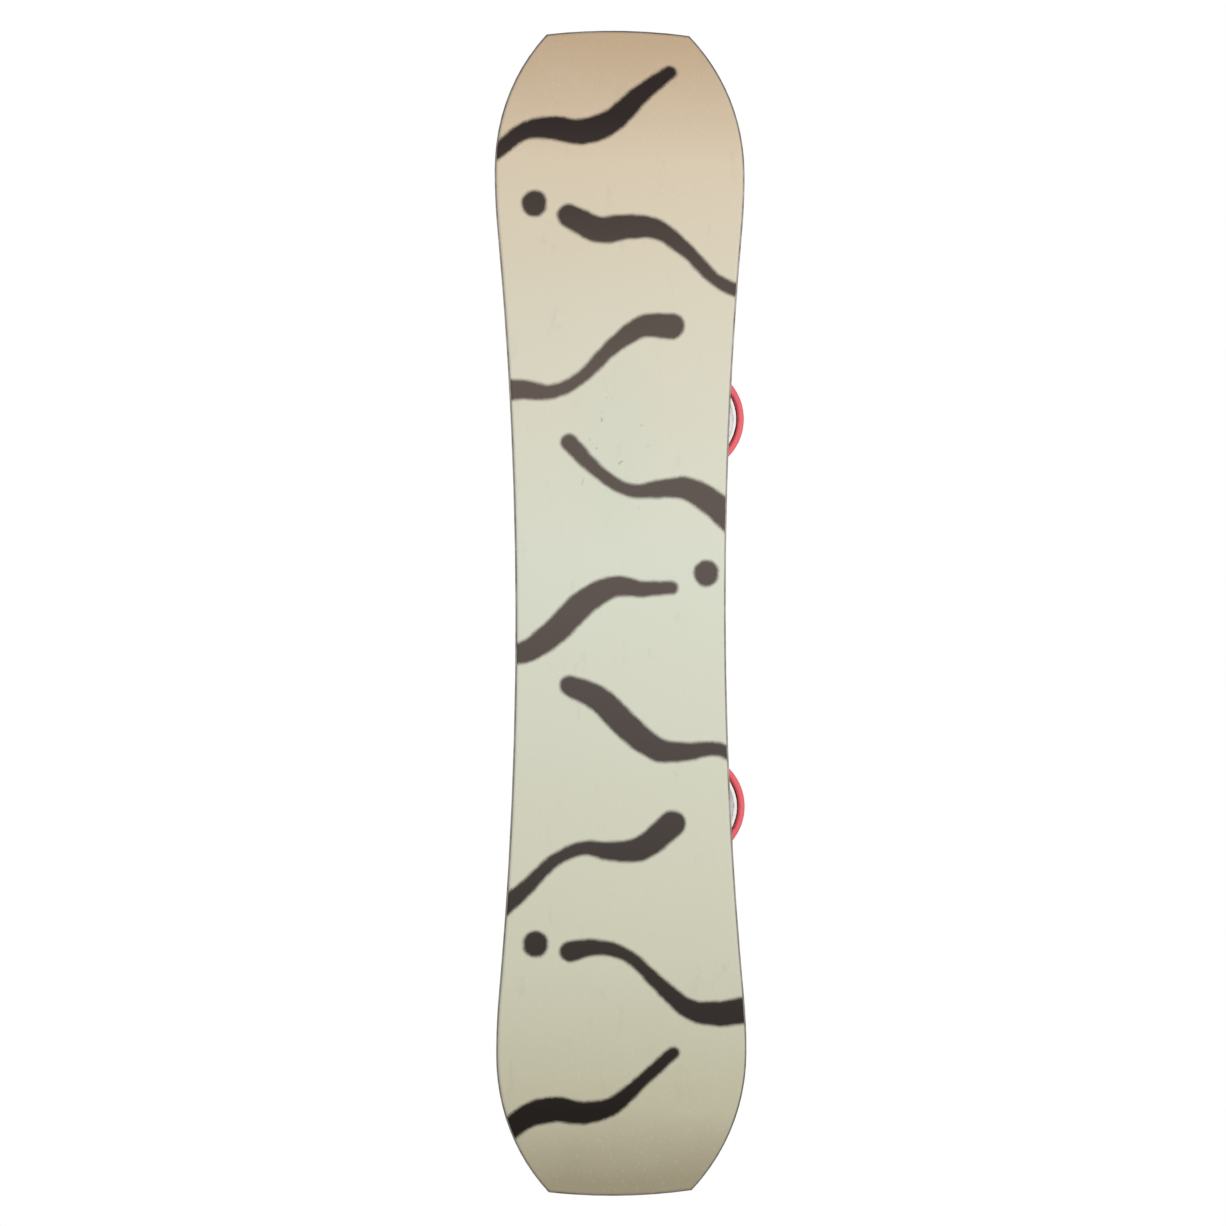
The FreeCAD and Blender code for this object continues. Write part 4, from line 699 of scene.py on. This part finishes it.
def stitchRun(name, line, up, look, closed=False):
    # short threads along a line: each is a six-sided spindle, its radius the root of a parabola along it
    step = np.linalg.norm(np.diff(line, axis=0), axis=1)
    travel = np.concatenate([[0], np.cumsum(step)])
    count = int(travel[-1] / (look["stitchPitch"] * mm))
    spots = (np.arange(count) + 0.5) * travel[-1] / count
    centre = np.stack([np.interp(spots, travel, line[:, k]) for k in range(3)], -1)
    normal = np.stack([np.interp(spots, travel, up[:, k]) for k in range(3)], -1)
    ahead = np.stack([np.interp(spots + 0.5 * mm, travel, line[:, k]) for k in range(3)], -1) - centre
    ahead /= np.linalg.norm(ahead, axis=1)[:, None] + 1e-12
    normal -= ahead * np.sum(normal * ahead, axis=1)[:, None]
    normal /= np.linalg.norm(normal, axis=1)[:, None] + 1e-12
    side = np.cross(normal, ahead)
    rings, around = 7, 6
    t = np.linspace(-1, 1, rings)
    radius = look["threadRadius"] * mm * np.sqrt(1.02 - t ** 2)
    turn = np.arange(around) * 2 * math.pi / around
    long = (t * look["stitchLength"] * mm / 2)[None, :, None, None] * ahead[:, None, None, :]
    wide = (radius[:, None] * np.cos(turn))[None, :, :, None] * side[:, None, None, :]
    tall = (radius[:, None] * np.sin(turn))[None, :, :, None] * normal[:, None, None, :]
    points = (centre[:, None, None, :] + long + wide + tall).reshape(-1, 3)
    ring = np.arange(rings - 1)[:, None] * around + np.arange(around)[None, :]
    beside = np.arange(rings - 1)[:, None] * around + (np.arange(around)[None, :] + 1) % around
    quads = np.stack([ring, beside, beside + around, ring + around], -1).reshape(-1, 4)
    offset = np.arange(count)[:, None, None] * rings * around
    faces = (quads[None] + offset).reshape(-1, 4).tolist()
    first = list(range(around))[::-1]
    last = [(rings - 1) * around + k for k in range(around)]
    for number in range(count):
        shift = number * rings * around
        faces += [[k + shift for k in first], [k + shift for k in last]]
    piece = meshPiece(name, points, faces)
    work = bmesh.new()
    work.from_mesh(piece.data)
    bmesh.ops.recalc_face_normals(work, faces=work.faces)
    work.to_mesh(piece.data)
    work.free()
    return piece


def buildStrapPad(strap, size, look):
    place = strapFrame(size)
    middle = np.array([0, 0, size["leg"] * mm])

    def polar(points, normals):
        # angle round the strap's arch from its outer side, place over its width, and how far a face looks outward
        local = inFrame(place, points)
        rayed = local - middle
        angle = np.degrees(np.arctan2(rayed[:, 2], rayed[:, 0]))
        away = rayed * (1, 0, 1)
        away /= np.linalg.norm(away, axis=1)[:, None]
        return angle, local[:, 1] / mm, np.sum(inFrame(place, normals, True) * away, axis=1)

    def reach(points, normals):
        # no swelling where the buckle and the connector press on it, full swelling beside them and inside
        angle, over, outward = polar(points, normals)
        pressed = (outward > 0.2) & ((angle < 80) | (angle > 126))
        free = np.clip((np.abs(over) - look["coveredHalf"]) / 5, 0, 1)
        return np.where(pressed, look["shrink"] - 0.3 + free * (look["puff"] - look["shrink"] + 0.3), look["puff"])

    piece = cushion(f"front{strap.capitalize()}Cushion", f"front_{strap}_strap", look, reach)
    angle, over, outward = polar(readPoints(piece.data), readNormals(piece.data))
    outside = np.clip((outward - 0.2) / 0.3, 0, 1)
    edge = size["padWidth"] / 2 - look["border"]
    engrave(piece, np.abs(over) - edge, look["grooveHalf"], look["groove"], outside)
    arm = np.linalg.norm((inFrame(place, readPoints(piece.data)) - middle)[:, ::2], axis=1) / mm
    within = outside * np.clip((edge - 2 - np.abs(over)) / 3, 0, 1)
    for crossing in size["crossings"]:
        engrave(piece, np.radians(angle - crossing) * arm, look["grooveHalf"], look["groove"] * 0.8, within)
    threads = []
    for number, row in enumerate((-edge, edge)):
        bend = np.radians(np.linspace(17, 163, 120))
        outer = np.stack([np.cos(bend), 0 * bend, np.sin(bend)], -1)
        starts = outOfFrame(place, middle + outer * 0.15 + np.array([0, row * mm, 0]))
        aims = -outer @ np.array(place)[:3, :3].T
        line, up = surfaceHits(piece, starts, aims)
        threads.append(stitchRun(f"front{strap.capitalize()}Stitches{number}", line + up * 0.1 * mm, up, look))
    return piece, threads


def buildBackPad(look):
    low, high = (corner.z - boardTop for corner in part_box("front_highback_pad"))

    def field(across, height):
        # signed distance in mm to the pad's outline, a tall shape with round ends and straight sides
        rise = np.maximum(np.maximum(low / mm + look["endRadius"] - height, height - high / mm + look["endRadius"]), 0)
        return np.maximum(np.hypot(across, rise) - look["endRadius"], np.abs(across) - look["halfWidth"])

    def reach(points, normals):
        # the back lies against the shell, and the front swells
        facing = inFrame(bindingFrame, normals, True)[:, 1]
        return np.where(facing > 0.2, look["shrink"] - 0.1, look["puff"])

    piece = cushion("frontBackCushion", "front_highback_pad", look, reach)
    local = inFrame(bindingFrame, readPoints(piece.data)) / mm
    facing = inFrame(bindingFrame, readNormals(piece.data), True)[:, 1]
    front = np.clip((-facing - 0.15) / 0.3, 0, 1)
    inside = field(local[:, 0], local[:, 2])
    engrave(piece, inside + look["border"], look["grooveHalf"], look["groove"], front)
    within = front * np.clip((-inside - look["border"] - 2) / 3, 0, 1)
    pitch = look["channelPitch"]
    middle = (low + high) / 2 / mm
    gap = (local[:, 2] - middle + 0.012 * local[:, 0] ** 2 + pitch / 2) % pitch - pitch / 2
    engrave(piece, gap, look["grooveHalf"], look["groove"] * 0.8, within)
    turn = np.linspace(0, 2 * math.pi, 240)
    spread = np.linspace(1, 70, 140)[None, :]
    across = spread * np.sin(turn)[:, None]
    height = middle + spread * np.cos(turn)[:, None]
    hit = np.argmax(field(across, height) > -look["border"], axis=1)
    rows = np.arange(len(turn))
    starts = np.stack([across[rows, hit] * mm, np.full(len(turn), 0.02), height[rows, hit] * mm], -1)
    aims = np.tile([0.0, 1.0, 0.0], (len(turn), 1)) @ np.array(bindingFrame)[:3, :3].T
    line, up = surfaceHits(piece, outOfFrame(bindingFrame, starts), aims)
    return piece, [stitchRun("frontBackStitches", line + up * 0.1 * mm, up, look)]


def buildFootbed(look):
    def reach(points, normals):
        upward = inFrame(bindingFrame, normals, True)[:, 2]
        return np.where(upward > 0.3, look["puff"], look["shrink"] - 0.05)

    piece = cushion("frontFootbedPad", "front_footbed", look, reach)
    local = inFrame(bindingFrame, readPoints(piece.data)) / mm
    upward = inFrame(bindingFrame, readNormals(piece.data), True)[:, 2]
    top = np.clip((upward - 0.6) / 0.3, 0, 1) * np.clip((look["halfWidth"] - np.abs(local[:, 0])) / 3, 0, 1)
    pitch = look["pitch"]
    gap = (local[:, 1] + look["slant"] * np.abs(local[:, 0]) + pitch / 2) % pitch - pitch / 2
    low, high = local[:, 1].min() + 8, local[:, 1].max() - 8
    top = top * np.clip((local[:, 1] - low) / 3, 0, 1) * np.clip((high - local[:, 1]) / 3, 0, 1)
    engrave(piece, gap, look["grooveHalf"], look["groove"], top)
    return piece, []


paddings = [(buildBackPad(backPadLook), "highback", "highback_pad", "highback_cushion", "backCushion", 0.6),
            (buildFootbed(footbedLook), "board", "footbed", "foam_footbed", "footbed", 0.9)]
for strap, size in straps.items():
    made = buildStrapPad(strap, size, strapPadLook)
    paddings.append((made, f"{strap}_strap", f"{strap}_strap", "strap_cushion", "strapCushion", 0.6))
for (piece, threads), body, node, slotName, finish, fill in paddings:
    for side, sign in sides.items():
        rider = "board" if body == "board" else f"{side}_{body}"
        pad = piece if sign > 0 else mirroredPiece(piece, piece.name.replace("front", "rear"))
        finishPiece(pad, rider, slotName, finishes[finish], f"{side}_{node}")
        for thread in threads:
            run = thread if sign > 0 else mirroredPiece(thread, thread.name.replace("front", "rear"))
            finishPiece(run, rider, slotName, finishes["thread"])
print("padded pieces made")


# stage
stageLook = dict(floorReach=6.0, floorDrop=0.0005, worldLevel=0.72, fillBelow=7.0, keyAbove=26.0)


def buildFloor(look):
    low = -look["floorDrop"]
    r = look["floorReach"]
    floor = meshPiece("studioFloor", [(-r, -r, low), (r, -r, low), (r, r, low), (-r, r, low)], [(0, 1, 2, 3)], False)
    material, tree, shader = newMaterial("paleFloor", Roughness=0.8, Specular_IOR_Level=0.1)
    soft = noise(tree, coords(tree), 3, 3)
    tree.links.new(ramp(tree, soft, [(0.3, tone(228, 228, 228)), (0.7, tone(234, 234, 234))]),
                   shader.inputs["Base Color"])
    below = tree.nodes.new("ShaderNodeNewGeometry")
    clear = tree.nodes.new("ShaderNodeBsdfTransparent")
    both = tree.nodes.new("ShaderNodeMixShader")
    tree.links.new(below.outputs["Backfacing"], both.inputs[0])
    tree.links.new(shader.outputs[0], both.inputs[1])
    tree.links.new(clear.outputs[0], both.inputs[2])
    tree.links.new(both.outputs[0], tree.nodes["Material Output"].inputs["Surface"])
    floor.data.materials.append(material)
    for kind in ("visible_diffuse", "visible_glossy", "visible_transmission", "visible_shadow"):
        setattr(floor, kind, False)


def buildWorld(look):
    world = bpy.data.worlds.new("studio")
    world.use_nodes = True
    tree = world.node_tree
    background = tree.nodes["Background"]
    background.inputs["Color"].default_value = (1, 1, 1, 1)
    path = tree.nodes.new("ShaderNodeLightPath")
    level = look["worldLevel"]
    strength = calc(tree, "MULTIPLY_ADD", path.outputs["Is Camera Ray"], 1 - level, level)
    tree.links.new(strength, background.inputs["Strength"])
    bpy.context.scene.world = world


def softLight(name, place, aim, size, power):
    data = bpy.data.lights.new(name, "AREA")
    data.shape = "RECTANGLE"
    data.size, data.size_y = size
    data.energy = power
    lamp = link(bpy.data.objects.new(name, data))
    lamp.location = place
    lamp.rotation_euler = (Vector(aim) - Vector(place)).to_track_quat("-Z", "Y").to_euler()


def buildCamera():
    # under the board, looking straight up at the base with the nose at the top of the picture
    eye = dict(place=(-0.0109, -0.1486, -2.7), yaw=-2.95, pitch=-0.22, roll=-0.11, lens=66.11)
    yaw, pitch, roll = (math.radians(eye[turn]) for turn in ("yaw", "pitch", "roll"))
    right, up, ahead = Vector((0, 1, 0)), Vector((1, 0, 0)), Vector((0, 0, 1))
    right, ahead = right * math.cos(yaw) + ahead * math.sin(yaw), ahead * math.cos(yaw) - right * math.sin(yaw)
    up, ahead = up * math.cos(pitch) + ahead * math.sin(pitch), ahead * math.cos(pitch) - up * math.sin(pitch)
    right, up = right * math.cos(roll) + up * math.sin(roll), up * math.cos(roll) - right * math.sin(roll)
    data = bpy.data.cameras.new("camera")
    data.lens = eye["lens"]
    data.sensor_width = 36
    camera = link(bpy.data.objects.new("camera", data))
    camera.matrix_world = Matrix((right, up, -ahead)).transposed().to_4x4()
    camera.location = eye["place"]
    bpy.context.scene.camera = camera


bpy.context.scene.view_settings.view_transform = "Standard"
buildFloor(stageLook)
buildWorld(stageLook)
softLight("fillBelow", (0.3, 1.2, -2.2), (0, 0, 0), (2.5, 2.5), stageLook["fillBelow"] * 4)
softLight("keyAbove", (0.9, -1.4, 2.2), (0, 0, 0.05), (1.4, 1.4), stageLook["keyAbove"])
softLight("rimAbove", (-1.4, 1.6, 1.4), (0, 0, 0.05), (1.0, 1.0), stageLook["keyAbove"] * 0.4)
buildCamera()
print("stage made")
